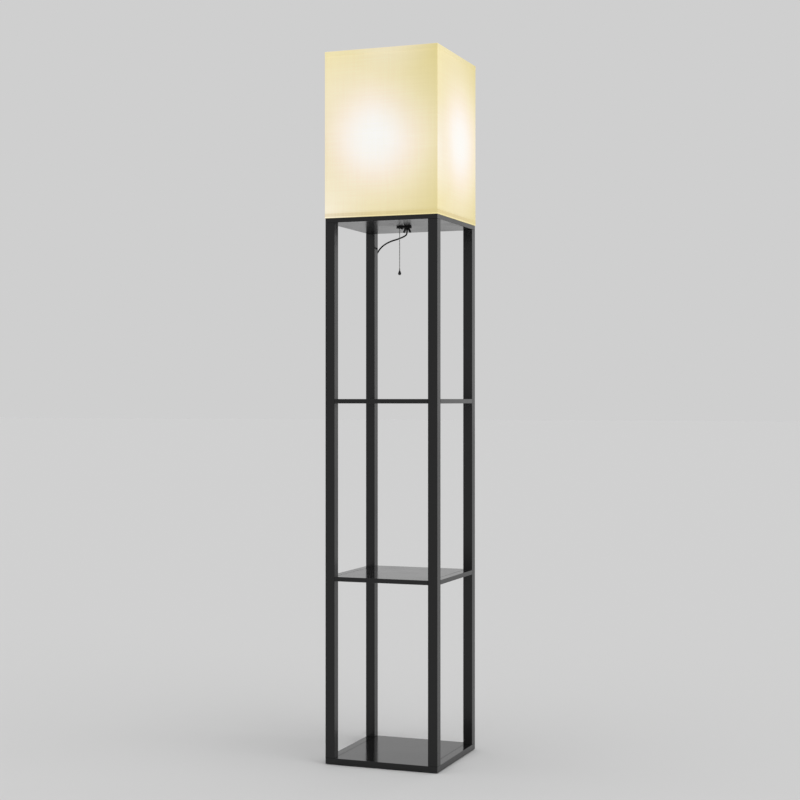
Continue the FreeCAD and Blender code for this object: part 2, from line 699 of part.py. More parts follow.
def chain_pull():
    """Drop-shaped pull at the chain's end."""
    high = chain_end() - BEAD_RADIUS - 0.1 - CONNECTOR_HEIGHT
    low = high - PULL_HEIGHT
    belly = low + PULL_RADIUS
    lean = PULL_RADIUS * math.sqrt(0.5)
    neck = Vec(CHAIN_X + PULL_NECK, 0, high)
    shoulder = Vec(CHAIN_X + PULL_SHOULDER, 0, belly + PULL_SHOULDER_RISE)
    side = Vec(CHAIN_X + PULL_RADIUS, 0, belly)
    edges = [
        Part.LineSegment(Vec(CHAIN_X, 0, high), neck).toShape(),
        Part.Arc(neck, shoulder, side).toShape(),
        Part.Arc(side, Vec(CHAIN_X + lean, 0, belly - lean), Vec(CHAIN_X, 0, low)).toShape(),
        Part.LineSegment(Vec(CHAIN_X, 0, low), Vec(CHAIN_X, 0, high)).toShape(),
    ]
    return Part.Face(Part.Wire(edges)).revolve(Vec(CHAIN_X, 0, 0), Vec(0, 0, 1), 360)


# --- wiring box and lampholder ---

def tab_screws():
    """X of the two screws that hold the wiring box."""
    return BOX_LOW_X - TAB_LENGTH / 2, BOX_HIGH_X + TAB_LENGTH / 2


def wiring_box():
    """Steel box over the switch, open towards the board, with a tab at each end."""
    wall = BOX_WALL
    shell = block((BOX_LOW_X, -BOX_HALF_Y, BOARD_TOP), (BOX_HIGH_X, BOX_HALF_Y, BOX_TOP))
    shell = shell.makeFillet(2.0, upright_edges(shell, BOX_HEIGHT))
    tabs = block((BOX_LOW_X - TAB_LENGTH, -8, BOARD_TOP), (BOX_HIGH_X + TAB_LENGTH, 8, BOARD_TOP + wall))
    inside = block((BOX_LOW_X + wall, -BOX_HALF_Y + wall, BOARD_TOP - 1),
                   (BOX_HIGH_X - wall, BOX_HALF_Y - wall, BOX_TOP - wall))
    shell = shell.fuse(tabs).removeSplitter().cut(inside)
    for x in tab_screws():
        shell = shell.cut(rod(TAB_SCREW_RADIUS + 0.3, BOARD_TOP - 1, BOARD_TOP + wall + 1, x))
    return shell.cut(rod(NIPPLE_RADIUS + FIT_CLEARANCE, BOX_TOP - wall - 1, BOX_TOP + 1))


def box_screws():
    """Screws through the wiring box's tabs into the board."""
    seat = BOARD_TOP + BOX_WALL
    end = BOARD_TOP - 7.0
    profile = [(0, end - 0.8), (TAB_SCREW_RADIUS, end), (TAB_SCREW_RADIUS, seat), (3.4, seat),
               (3.4, seat + 1.0), (2.2, seat + 2.2), (0, seat + 2.2)]
    return [turned(profile, x) for x in tab_screws()]


def nipple():
    """Threaded tube that carries the lampholder and its wires."""
    return sleeve(NIPPLE_RADIUS, NIPPLE_BORE, BOX_TOP - BOX_WALL - NUT_HEIGHT - 0.5, NIPPLE_TOP)


def nipple_nuts():
    """Four hexagon nuts, one on each side of the box's roof and of the holder's floor."""
    hole = NIPPLE_RADIUS + FIT_CLEARANCE
    roof = BOX_TOP - BOX_WALL
    nuts = []
    for seat in (roof - NUT_HEIGHT, BOX_TOP, HOLDER_UNDER - NUT_HEIGHT, HOLDER_UNDER + HOLDER_WALL):
        nut = hexagon(NUT_ACROSS, seat, seat + NUT_HEIGHT)
        nuts.append(nut.cut(rod(hole, seat - 1, seat + NUT_HEIGHT + 1)))
    return nuts


def holder_cap():
    """Cup that forms the lampholder's foot."""
    inside = CAP_RADIUS - HOLDER_WALL
    floor = HOLDER_UNDER + HOLDER_WALL
    outer = turned([(0, HOLDER_UNDER), (CAP_RADIUS - 3, HOLDER_UNDER), (CAP_RADIUS, HOLDER_UNDER + 3),
                    (CAP_RADIUS, CAP_TOP), (0, CAP_TOP)])
    inner = turned([(0, floor), (inside - 3, floor), (inside, floor + 3), (inside, CAP_TOP + 1),
                    (0, CAP_TOP + 1)])
    return outer.cut(inner).cut(rod(NIPPLE_RADIUS + FIT_CLEARANCE, HOLDER_UNDER - 1, floor + 1))


def holder_shell():
    """Lampholder's outer shell with the shoulder that the shade's fitter sits on."""
    shoulder = SHOULDER_TOP - SHOULDER_THICKNESS
    inside = SHELL_RADIUS - SHELL_WALL
    lip = inside - SHELL_LIP
    return turned([
        (lip, CAP_TOP), (SHELL_RADIUS, CAP_TOP), (SHELL_RADIUS, shoulder),
        (SHOULDER_RADIUS, shoulder), (SHOULDER_RADIUS, SHOULDER_TOP), (SHELL_RADIUS, SHOULDER_TOP),
        (SHELL_RADIUS, SHELL_TOP), (inside, SHELL_TOP), (inside, CAP_TOP + 1.2),
        (lip, CAP_TOP + 1.2),
    ])


def terminal_block():
    """Moulded block that carries the contacts and the terminal screws."""
    block_shape = rod(BLOCK_RADIUS, BLOCK_UNDER, BLOCK_TOP)
    for side in (-1, 1):
        hole = rod(1.3, BLOCK_UNDER - 1, BLOCK_UNDER + 8, 0, side * TERMINAL_OFFSET)
        block_shape = block_shape.cut(hole)
    return block_shape


def terminal_screws():
    """Brass screws that hold the wires under the block."""
    low = BLOCK_UNDER - 1.4
    profile = [(0, low), (2.4, low), (2.4, BLOCK_UNDER), (1.25, BLOCK_UNDER), (1.25, BLOCK_UNDER + 7),
               (0, BLOCK_UNDER + 7)]
    return [turned(profile, 0, side * TERMINAL_OFFSET) for side in (-1, 1)]


def screw_shell():
    """Brass shell that the bulb's cap turns in."""
    inner = BULB_SCREW_RADIUS + BULB_CLEARANCE
    outer = inner + SCREW_SHELL_WALL
    high = BLOCK_TOP + SCREW_SHELL_HEIGHT
    floor = BLOCK_TOP + 0.8
    hole = CONTACT_HOLE_RADIUS
    return turned([(hole, BLOCK_TOP), (outer, BLOCK_TOP), (outer, high), (inner, high), (inner, floor),
                   (hole, floor)])


def centre_contact():
    """Springy brass contact under the bulb's tip."""
    high = BLOCK_TOP + CONTACT_HEIGHT
    return turned([(0, BLOCK_TOP), (4, BLOCK_TOP), (4, BLOCK_TOP + 1), (2.4, high - 1), (1.4, high),
                   (0, high)])


def ring_nut():
    """Fluted ring that clamps the shade's fitter to the shoulder."""
    low = SHOULDER_TOP + FITTER_THICKNESS
    high = low + RING_NUT_HEIGHT
    ring = sleeve(FITTER_RADIUS, SHELL_RADIUS + 0.1, low, high)
    for k in range(18):
        angle = k * math.pi / 9
        ring = ring.cut(rod(1.2, low + 1.5, high + 1, (FITTER_RADIUS + 0.5) * math.cos(angle),
                            (FITTER_RADIUS + 0.5) * math.sin(angle)))
    return ring


# --- bulb ---

def bulb_tip():
    """Solder tip and the insulator round it."""
    low = BULB_UNDER
    return turned([(0, low), (3.0, low), (4.0, low + 1.2), (5.2, low + 1.6),
                   (BULB_SCREW_RADIUS - 1.6, BULB_CAP_UNDER), (0, BULB_CAP_UNDER)])


def bulb_cap():
    """Threaded cap, its thread's ridges turned as rings."""
    crest = BULB_SCREW_RADIUS
    groove = crest - THREAD_DEPTH
    profile = [(0, BULB_CAP_UNDER), (crest - 1.4, BULB_CAP_UNDER), (groove, BULB_CAP_UNDER + 1)]
    turns = int((BULB_CAP_HEIGHT - 4) / THREAD_PITCH)
    for k in range(turns):
        z = BULB_CAP_UNDER + 1.4 + k * THREAD_PITCH
        profile += [(groove, z), (crest, z + 0.9), (crest, z + 1.7), (groove, z + 2.6)]
    profile += [(groove, NECK_UNDER), (0, NECK_UNDER)]
    return turned(profile)


def bulb_neck():
    """Moulded neck that widens from the cap to the globe."""
    x = BULB_SCREW_RADIUS
    wall = 1.4
    low = NECK_UNDER
    outer = [(x, low), (x + 0.6, low + 5), (x + 3.6, low + 14), (GLOBE_MOUTH + 1.6, GLOBE_UNDER)]
    inner = [(GLOBE_MOUTH - wall, GLOBE_UNDER), (x + 3.6 - wall, low + 14), (x + 0.6 - wall, low + 5),
             (x - wall, low + 1.2), (0, low + 1.2), (0, low)]
    return turned(outer + inner)


def bulb_globe():
    """Frosted globe, a thin shell open at its neck."""
    inner = GLOBE_RADIUS - GLOBE_WALL
    centre = Vec(0, 0, GLOBE_CENTRE)
    ball = Part.makeSphere(GLOBE_RADIUS, centre).cut(Part.makeSphere(inner, centre))
    reach = GLOBE_RADIUS + 1
    return ball.cut(block((-reach, -reach, GLOBE_CENTRE - reach), (reach, reach, GLOBE_UNDER)))


# --- shade ---

def fabric_faces():
    """Half widths of the fabric's outer and inner faces."""
    outer = HALF - HEM_TAPE
    return outer, outer - FABRIC


def shade_fabric():
    """Four walls of lined fabric, one wrap round the frame."""
    outer, inner = fabric_faces()
    return square_tube(outer, inner, SHADE_CORNER - HEM_TAPE, BOARD_TOP + HEM_TAPE, SHADE_TOP - HEM_TAPE)


def shade_hem(low, high, fabric_low, fabric_high):
    """Tape folded over one edge of the fabric."""
    outer, inner = fabric_faces()
    tape = square_tube(HALF, inner - HEM_TAPE, SHADE_CORNER, low, high)
    return tape.cut(square_tube(outer, inner, SHADE_CORNER - HEM_TAPE, fabric_low, fabric_high))


def ring_line():
    """Half width of the wire rings' centre line, inside the hem."""
    return fabric_faces()[1] - HEM_TAPE - RING_CLEARANCE - RING_WIRE


def wire_ring(z):
    """Square ring of round wire with bent corners."""
    half = ring_line()
    straight = half - RING_CORNER
    knee = half - RING_CORNER * (1 - math.sqrt(0.5))
    edges = []
    for k in range(4):
        angle = k * 90

        def at(x, y):
            spot = Vec(x, y, z)
            turn = FreeCAD.Rotation(Vec(0, 0, 1), angle)
            return turn.multVec(spot)

        edges.append(Part.LineSegment(at(half, -straight), at(half, straight)).toShape())
        edges.append(Part.Arc(at(half, straight), at(knee, knee), at(straight, half)).toShape())
    return swept(Part.Wire(edges), RING_WIRE, Vec(half, -straight, z), Vec(0, 1, 0))


def ring_levels():
    """Heights of the lower and the upper ring."""
    rise = HEM_TAPE + RING_WIRE
    return BOARD_TOP + rise, SHADE_TOP - rise


def shade_struts():
    """Upright wires between the rings at the shade's corners."""
    low, high = ring_levels()
    at = ring_line() - RING_CORNER * (1 - math.sqrt(0.5))
    foot = low + RING_WIRE + FIT_CLEARANCE
    head = high - RING_WIRE - FIT_CLEARANCE
    return [rod(ARM_WIRE, foot, head, x * at, y * at) for x, y in CORNERS.values()]


def shade_fitter():
    """Ring on the lampholder's shoulder with four arms down to the lower ring's corners."""
    ring = sleeve(FITTER_RADIUS, SHELL_RADIUS + 0.3, SHOULDER_TOP, SHOULDER_TOP + FITTER_THICKNESS)
    reach = (ring_line() - RING_CORNER * (1 - math.sqrt(0.5))) * math.sqrt(2) - RING_WIRE - ARM_WIRE - 0.1
    start = Vec(FITTER_RADIUS - 1, 0, SHOULDER_TOP + FITTER_THICKNESS / 2)
    end = Vec(reach, 0, ring_levels()[0] + 0.4)
    over = block((0, -ARM_WIRE - 1, SHOULDER_TOP + FITTER_THICKNESS),
                 (FITTER_RADIUS + 9, ARM_WIRE + 1, SHOULDER_TOP + FITTER_THICKNESS + 9))
    for k in range(4):
        arm = Part.makeCylinder(ARM_WIRE, (end - start).Length, start, end - start)
        arm = arm.cut(over)
        arm.rotate(Vec(0, 0, 0), Vec(0, 0, 1), 45 + 90 * k)
        ring = ring.fuse(arm)
    ring = ring.cut(rod(SHOULDER_RADIUS + 0.2, SHOULDER_TOP - 9, SHOULDER_TOP))
    return ring.removeSplitter()


# --- wiring ---

def inner_cord():
    """The cord's last stretch, through the grip into the wiring box."""
    return rod(CORD / 2, CORD_EXIT, BOARD_TOP + 4, CORD_X)


def supply_wires():
    """Insulated wires: cord to switch, cord to holder and switch to holder."""
    start = BOARD_TOP + 4.1
    lean = WIRE / 2 + 0.15
    end = BLOCK_UNDER - 0.2
    entry = start + 6
    to_switch = [(CORD_X - lean, 0, start), (CORD_X - lean, 0, entry), (SWITCH_HIGH_X + 0.1, 0, entry)]
    roof = BOARD_TOP + SWITCH_HEIGHT + 0.1
    turn = roof + WIRE_TURN
    to_holder = [(CORD_X + lean, 0, start), (CORD_X + lean, 0, roof), (lean, 0, turn), (lean, 0, end)]
    switched = [(-4, 0, roof), (-4, 0, roof + 1.5), (-lean, 0, turn + 1), (-lean, 0, end)]
    return [wire_tube(points, WIRE / 2) for points in (to_switch, to_holder, switched)]


def cord_clips():
    """Saddle clips that hold the cord to the post's rear face."""
    clips = []
    inner = CORD / 2 + CLIP_SLACK + 0.6
    outer = inner + CLIP_WALL
    x, y = POST_LINE
    for z in CLIP_HEIGHTS:
        low, high = z - CLIP_LENGTH / 2, z + CLIP_LENGTH / 2
        saddle = rod(outer, low, high, x, y).fuse(block((x - outer, HALF + 0.02, low), (x + outer, y, high)))
        hollow = rod(inner, low - 1, high + 1, x, y)
        hollow = hollow.fuse(block((x - inner, HALF - 1, low - 1), (x + inner, y, high + 1)))
        clips.append(saddle.cut(hollow).removeSplitter())
    return clips


# --- hank and plug ---

def hank_point(out, side, z):
    """A point of the hank's own plane: out from the post, sideways, and up."""
    turn = math.radians(HANK_TURN)
    x = POST_LINE[0] - out * math.sin(turn) + side * math.cos(turn)
    y = POST_LINE[1] + out * math.cos(turn) + side * math.sin(turn)
    return Vec(x, y, z)


def s_bend(a, b):
    """Two arcs between two points, both ends upright; a plain line where nothing shifts."""
    shift = Vec(b.x - a.x, b.y - a.y, 0)
    rise = Vec(0, 0, b.z - a.z)
    if shift.Length < 0.01:
        return [Part.LineSegment(a, b).toShape()]
    angle = 2 * math.atan(shift.Length / rise.Length)
    radius = rise.Length / (2 * math.sin(angle))
    middle = (a + b) * 0.5
    aside = shift.normalize() * (radius * (1 - math.cos(angle / 2)))
    along = rise.normalize() * (radius * math.sin(angle / 2))
    first = Part.Arc(a, a + along + aside, middle)
    second = Part.Arc(middle, b - along - aside, b)
    return [first.toShape(), second.toShape()]


def hank_runs():
    """Every upright run: its distance out, its layer at both ends, and which side it is on."""
    half = HANK_WIDTH / 2
    inward = [(0, 0), (0, 1), (1, 0), (1, 1), (2, 0)]
    runs = []
    for step, far in inward:
        runs.append((half + (1 if far else -1) * (half - step * HANK_STEP), 0.0, 0.0, far))
    climb = (HANK_WIDTH - 2 * HANK_STEP, 0.0, -HANK_LAYER, 1)
    outward = [(out, -HANK_LAYER, -HANK_LAYER, far) for out, _, _, far in reversed(runs)]
    return runs + [climb] + outward


def plug_level():
    """Height of the plug's centre line, lying on the floor."""
    return PLUG_THICKNESS / 2 + 0.2


def tail_points():
    """The cord's last stretch over the floor, from the hank to the plug."""
    low = HANK_LOW - HANK_EXIT_BEND
    high = plug_level()
    route = [(HANK_EXIT_BEND, low), (TAIL_RISE_START, low), (TAIL_RISE_END, high), (TAIL_END, high)]
    return [tuple(hank_point(out, -HANK_LAYER, z)) for out, z in route]


def hank_path():
    """Folded loops that spiral in on one layer and out on the next, drawn in at the waist."""
    edges = []
    runs = hank_runs()
    middle = (HANK_LOW + HANK_HIGH) / 2
    for index, (out, side_in, side_out, far) in enumerate(runs):
        first, last = (HANK_LOW, HANK_HIGH) if far else (HANK_HIGH, HANK_LOW)
        drawn = out - HANK_WAIST if far else out + HANK_WAIST
        start = hank_point(out, side_in, first)
        waist = hank_point(drawn, (side_in + side_out) / 2, middle)
        end = hank_point(out, side_out, last)
        edges += s_bend(start, waist) + s_bend(waist, end)
        if index + 1 < len(runs):
            after = runs[index + 1][0]
            radius = abs(after - out) / 2
            crown = hank_point((out + after) / 2, side_out, last + (radius if far else -radius))
            edges.append(Part.Arc(end, crown, hank_point(after, side_out, last)).toShape())
    side = -HANK_LAYER
    bend = HANK_EXIT_BEND
    knee = hank_point(bend * (1 - math.sqrt(0.5)), side, HANK_LOW - bend * math.sqrt(0.5))
    foot = hank_point(bend, side, HANK_LOW - bend)
    edges.append(Part.Arc(hank_point(0, side, HANK_LOW), knee, foot).toShape())
    return Part.Wire(edges + rounded_route(tail_points())[0].Edges)


def cord_hank():
    """The put-away length, folded into a hank behind the post's foot."""
    path = hank_path()
    return swept(path, CORD / 2, hank_point(0, 0, HANK_HIGH), Vec(0, 0, -1)), path


def cord_tie():
    """Band round the hank's waist."""
    low = (HANK_LOW + HANK_HIGH - TIE_HEIGHT) / 2
    gap = CORD / 2 + 0.15

    def band(extra):
        near = HANK_WAIST - gap - extra
        far = HANK_WIDTH - HANK_WAIST + gap + extra
        right = gap + extra
        left = -HANK_LAYER - gap - extra
        corners = [(near, right), (far, right), (far, left), (near, left)]
        points = [hank_point(out, side, low) for out, side in corners]
        prism = Part.Face(Part.makePolygon(points + points[:1])).extrude(Vec(0, 0, TIE_HEIGHT))
        return prism.makeFillet(1.0 + extra, upright_edges(prism, TIE_HEIGHT))

    return band(TIE_THICKNESS).cut(band(0.0))


def lay(shape):
    """Turn a piece drawn along +X at the hank's origin into the hank's frame."""
    placed = shape.copy()
    placed.rotate(Vec(0, 0, 0), Vec(0, 0, 1), 90 + HANK_TURN)
    foot = hank_point(TAIL_END, -HANK_LAYER, 0)
    placed.translate(foot)
    return placed


def plug_body():
    """Moulded plug with its tapered strain relief."""
    level = plug_level()
    body = block((RELIEF_LENGTH, -PLUG_WIDTH / 2, level - PLUG_THICKNESS / 2),
                 (RELIEF_LENGTH + PLUG_LENGTH, PLUG_WIDTH / 2, level + PLUG_THICKNESS / 2))
    long_edges = [edge for edge in body.Edges if edge.BoundBox.XLength > PLUG_LENGTH - 0.01]
    body = body.makeFillet(3.0, long_edges)
    relief = Part.makeCone(CORD / 2 + 0.7, CORD / 2 + 2.4, RELIEF_LENGTH + 1, Vec(0, 0, level), Vec(1, 0, 0))
    return lay(body.fuse(relief).removeSplitter())


def plug_blades():
    """Two flat blades at the plug's end."""
    level = plug_level()
    start = RELIEF_LENGTH + PLUG_LENGTH + 0.01
    blades = []
    for side in (-1, 1):
        y = side * BLADE_SPACING / 2
        blade = block((start, y - BLADE_THICKNESS / 2, level - BLADE_WIDTH / 2),
                      (start + BLADE_LENGTH, y + BLADE_THICKNESS / 2, level + BLADE_WIDTH / 2))
        blades.append(lay(blade))
    return blades


def self_gap(path):
    """Least gap between two stretches of a wound cord, measured on points a millimetre apart."""
    points = path.discretize(Number=int(path.Length))
    apart = int(4 * CORD)
    least = path.Length
    for k, point in enumerate(points):
        for other in points[k + apart:]:
            if abs(other.z - point.z) < CORD + 2 and abs(other.x - point.x) < CORD + 2:
                least = min(least, point.distanceToPoint(other))
    return least - CORD


def report_tube(name, tube, path, radii):
    """Print a cord solid's length, least bend and volume against its section."""
    ideal = math.pi * (CORD / 2) ** 2 * path.Length
    least = min(radii) if radii else 0.0
    print(name, "length", round(path.Length, 1), "least radius", round(least, 1),
          "volume ratio", round(tube.Volume / ideal, 4), "valid", tube.isValid())


def build_frame():
    save("base_board", base_board())
    save("foot_pads", *foot_pads())
    save("base_bolts", *base_bolts())
    levels = [
        ("lower", BASE_TOP, LOWER_JOINT, False, True),
        ("middle", LOWER_JOINT, UPPER_JOINT, True, True),
        ("upper", UPPER_JOINT, BOARD_UNDER, True, False),
    ]
    for level, low, high, low_rebate, high_rebate in levels:
        for corner, (side_x, side_y) in CORNERS.items():
            section = post_section(side_x, side_y, low, high, low_rebate, high_rebate)
            save(corner + "_" + level + "_post", section)
    save("threaded_inserts", *threaded_inserts())
    save("joint_studs", *joint_studs(LOWER_JOINT), *joint_studs(UPPER_JOINT))
    save("lower_shelf", shelf(LOWER_JOINT))
    save("upper_shelf", shelf(UPPER_JOINT))
    save("top_board", top_board())
    save("top_bolts", *top_bolts())


def build_switch():
    save("hub_plate", hub_plate())
    save("plate_screws", *plate_screws())
    save("nozzle_nut", nozzle_nut())
    save("cord_grip", cord_grip())
    save("switch_body", switch_body())
    save("switch_drum", switch_drum())
    save("chain_lead", chain_lead())
    save("chain_upper", chain_upper())
    save("chain_lower", chain_lower())
    save("chain_connector", chain_connector())
    save("chain_pull", chain_pull())


def build_lampholder():
    save("wiring_box", wiring_box())
    save("box_screws", *box_screws())
    save("nipple", nipple())
    save("nipple_nuts", *nipple_nuts())
    save("holder_cap", holder_cap())
    save("holder_shell", holder_shell())
    save("terminal_block", terminal_block())
    save("terminal_screws", *terminal_screws())
    save("screw_shell", screw_shell())
    save("centre_contact", centre_contact())
    save("ring_nut", ring_nut())


def build_bulb():
    save("bulb_tip", bulb_tip())
    save("bulb_cap", bulb_cap())
    save("bulb_neck", bulb_neck())
    save("bulb_globe", bulb_globe())


def build_shade():
    fabric_low, fabric_high = BOARD_TOP + HEM_TAPE, SHADE_TOP - HEM_TAPE
    save("shade_fabric", shade_fabric())
    save("shade_hems", shade_hem(BOARD_TOP, BOARD_TOP + HEM_HEIGHT, fabric_low, fabric_high),
         shade_hem(SHADE_TOP - HEM_HEIGHT, SHADE_TOP, fabric_low, fabric_high))
    save("shade_rings", *[wire_ring(level) for level in ring_levels()])
    save("shade_struts", *shade_struts())
    save("shade_fitter", shade_fitter())


def build_cord():
    save("inner_cord", inner_cord())
    save("supply_wires", *supply_wires())
    save("cord_clips", *cord_clips())
    tube, path, radii = route_tube(CORD_ROUTE, CORD / 2)
    report_tube("cord", tube, path, radii)
    save("cord", tube)
    hank, loops = cord_hank()
    report_tube("cord_hank", hank, loops, [HANK_WIDTH / 2 - 2 * HANK_STEP])
    print("cord_hank least gap to itself", round(self_gap(loops), 2))
    save("cord_hank", hank)
    save("cord_tie", cord_tie())
    save("plug_body", plug_body())
    save("plug_blades", *plug_blades())


os.makedirs("parts", exist_ok=True)
build_frame()
build_switch()
build_lampholder()
build_bulb()
build_shade()
build_cord()
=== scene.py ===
import math

import bmesh
import bpy
from mathutils import Matrix, Vector


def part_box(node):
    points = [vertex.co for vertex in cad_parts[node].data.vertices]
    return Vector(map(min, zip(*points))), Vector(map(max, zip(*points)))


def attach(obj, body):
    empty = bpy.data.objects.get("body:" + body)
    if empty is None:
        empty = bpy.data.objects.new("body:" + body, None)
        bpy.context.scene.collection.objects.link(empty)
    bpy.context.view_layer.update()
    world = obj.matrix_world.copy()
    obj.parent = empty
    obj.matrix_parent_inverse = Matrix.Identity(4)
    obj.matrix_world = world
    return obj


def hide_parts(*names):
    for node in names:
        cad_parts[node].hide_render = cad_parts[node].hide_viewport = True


bl_info = {
    "name": "Shelf floor lamp",
    "version": (1, 0, 0),
    "blender": (4, 5, 0),
    "location": "3D View > Sidebar > Lamp",
    "description": "Dresses a shelf floor lamp's frame: shade, lacquer, metals, cord and stage",
    "category": "Object",
}

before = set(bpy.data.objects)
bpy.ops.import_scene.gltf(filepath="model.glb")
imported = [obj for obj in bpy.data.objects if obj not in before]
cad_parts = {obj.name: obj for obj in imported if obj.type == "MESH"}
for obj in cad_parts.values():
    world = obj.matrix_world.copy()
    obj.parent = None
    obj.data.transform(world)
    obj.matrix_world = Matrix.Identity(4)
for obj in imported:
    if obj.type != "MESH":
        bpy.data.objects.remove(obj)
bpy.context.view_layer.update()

# Places on the frame that the new pieces are set by, in metres.
SHADE_LOW, SHADE_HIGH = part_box("shade_hems")
SHADE_MIDDLE = (SHADE_LOW.z + SHADE_HIGH.z) / 2
SHADE_FACE = SHADE_HIGH.x + 0.0015  # outside of the tape, which stands out from its CAD solid
POST_LINE = (-0.124, 0.1375)  # where the cord comes down behind the rear left post
PLUG_START = 0.056  # how far the plug's thin end lies behind that line
PLUG_LEVEL = 0.0057  # height of the plug's middle as it lies on the floor

# The put-away hank at the foot of that post.
HANK_TURN = math.radians(21.5)  # how far its plane turns from straight behind the post
HANK_LOW = 0.02445  # height of its straight runs' lower ends
HANK_RUN = 0.054  # length of the runs
HANK_WIDTH = 0.040  # from the nearest run to the farthest
HANK_STEP = 0.0045  # from each run to the next
HANK_LAYER = 0.0041  # from one layer of runs to the other
HANK_WAIST = 0.006  # how far the tie pulls the runs in

# The bulb's light on the cloth: how far behind each wall it seems to start, in metres, and its
# greatest strength.
GLOW_DEPTH = 0.150
GLOW_PEAK = 0.712

# Painted patches of paler and duller light on the cloth: the middle of each patch, its share, the
# axis that its wall faces along, and its colour. Each fades out over the reach.
PAINTED_LIGHT_PLACES = (
    ((-0.135, -0.135, 1.245), 0.70, "Y", "glow_pale"),
    ((-0.116, -0.135, 1.511), 0.22, "Y", "glow_pale"),
    ((0.033, -0.135, 1.650), 0.75, "Y", "glow_pale"),
    ((0.135, -0.135, 1.374), 1.00, "X", "glow_pale"),
    ((0.088, -0.135, 1.495), 0.30, "Y", "glow_dull"),
)
PLACE_REACH = 0.115

# Painted shade and painted light at each wall's two ends, far from the bulb: 1 is dull, and below
# 0 is brighter than the middle.
END_DULLEST, END_BRIGHTEST = 1.0, -0.8

# Metres from one band of a wave texture to the next at a scale of 1.
WAVE_BAND = 0.314

# What every colour property has in common.
COLOUR = {"size": 4, "subtype": "COLOR", "min": 0, "max": 1}

# The free cord, from the strain relief to behind the rear left post, in millimetres.
CORD_ROUTE = [
    (13.2, 0.0, 1212.0), (13.2, 0.0, 1204.8), (10.8, 2.7, 1199.2), (4.7, 9.8, 1196.9),
    (-7.1, 23.4, 1195.4), (-27.5, 46.8, 1193.7), (-52.4, 75.5, 1193.6), (-75.4, 101.9, 1191.5),
    (-95.0, 124.5, 1187.4), (-111.4, 143.4, 1181.0), (-122.0, 149.8, 1168.5),
    (-126.0, 145.8, 1142.0), (-125.6, 140.4, 1108.0), (-124.4, 137.8, 1066.0),
    (-123.6, 137.3, 1014.0), (-124.5, 137.9, 958.0), (-124.2, 137.6, 900.0),
    (-123.4, 137.9, 841.0), (-123.9, 137.3, 782.0), (-124.1, 137.5, 724.0),
    (-123.6, 138.0, 665.0), (-124.4, 137.9, 606.0), (-124.6, 137.4, 548.0),
    (-124.1, 137.8, 490.0), (-123.8, 137.5, 432.0), (-124.1, 137.4, 374.0),
    (-124.5, 138.0, 316.0), (-124.3, 138.1, 258.0), (-123.7, 137.5, 204.0),
    (-123.9, 137.4, 156.0), (-124.0, 137.5, 116.0),
]


# --- small helpers ---

def rgba(code):
    """Linear colour from an sRGB hex code."""
    parts = [int(code[k:k + 2], 16) / 255 for k in (0, 2, 4)]
    linear = [part / 12.92 if part <= 0.04045 else ((part + 0.055) / 1.055) ** 2.4
              for part in parts]
    return (*linear, 1.0)


def add(tree, kind, inputs=None, **settings):
    """Add a shader node with its settings, and its inputs' values or links.

    A node given as an input is linked by the first output that its settings leave in use.
    """
    node = tree.nodes.new("ShaderNode" + kind)
    for name, value in settings.items():
        setattr(node, name, value)
    for key, value in (inputs or {}).items():
        if isinstance(value, bpy.types.Node):
            value = next(socket for socket in value.outputs if socket.enabled)
        if isinstance(value, bpy.types.NodeSocket):
            tree.links.new(value, node.inputs[key])
        else:
            node.inputs[key].default_value = value
    return node


def new_material(name):
    """Empty node material and its tree."""
    material = bpy.data.materials.new(name)
    material.use_nodes = True
    material.node_tree.nodes.clear()
    return material, material.node_tree


def make_piece(name, bm, material, smooth=True):
    """Turn a bmesh into a piece with one material."""
    for face in bm.faces:
        face.smooth = smooth
    mesh = bpy.data.meshes.new(name)
    bm.to_mesh(mesh)
    bm.free()
    piece = bpy.data.objects.new(name, mesh)
    bpy.context.scene.collection.objects.link(piece)
    mesh.materials.append(material)
    return piece


def add_modifier(piece, kind, **settings):
    """Put a live modifier on a piece."""
    modifier = piece.modifiers.new(kind.title(), kind)
    for name, value in settings.items():
        setattr(modifier, name, value)


def finish_nodes(material, names):
    """Give one material to every slot of some frame nodes."""
    for name in names:
        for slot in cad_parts[name].material_slots:
            slot.material = material


def rounded_outline(bm, half_x, half_y, corner, cuts):
    """Rounded rectangle of edges about the origin, at height zero."""
    made = bmesh.ops.create_grid(bm, x_segments=1, y_segments=1, size=1.0)
    bmesh.ops.scale(bm, vec=(half_x, half_y, 1.0), verts=made["verts"])
    bmesh.ops.bevel(bm, geom=made["verts"], offset=corner, offset_type="OFFSET",
                    affect="VERTICES", segments=4, profile=0.5, material=-1)
    bmesh.ops.delete(bm, geom=bm.faces[:], context="FACES_ONLY")
    if cuts:
        sides = [edge for edge in bm.edges if edge.calc_length() > half_x / 2]
        bmesh.ops.subdivide_edges(bm, edges=sides, cuts=cuts)
    return bm.edges[:]


def draw_out(bm, outline, rise, grow=1.0):
    """Extrude an outline, raised and grown about the upright axis, and give the new outline."""
    made = bmesh.ops.extrude_edge_only(bm, edges=outline)["geom"]
    verts = [part for part in made if isinstance(part, bmesh.types.BMVert)]
    bmesh.ops.scale(bm, vec=(grow, grow, 1.0), verts=verts)
    bmesh.ops.translate(bm, vec=(0, 0, rise), verts=verts)
    return [part for part in made if isinstance(part, bmesh.types.BMEdge) and part.is_boundary]


# --- finishes ---

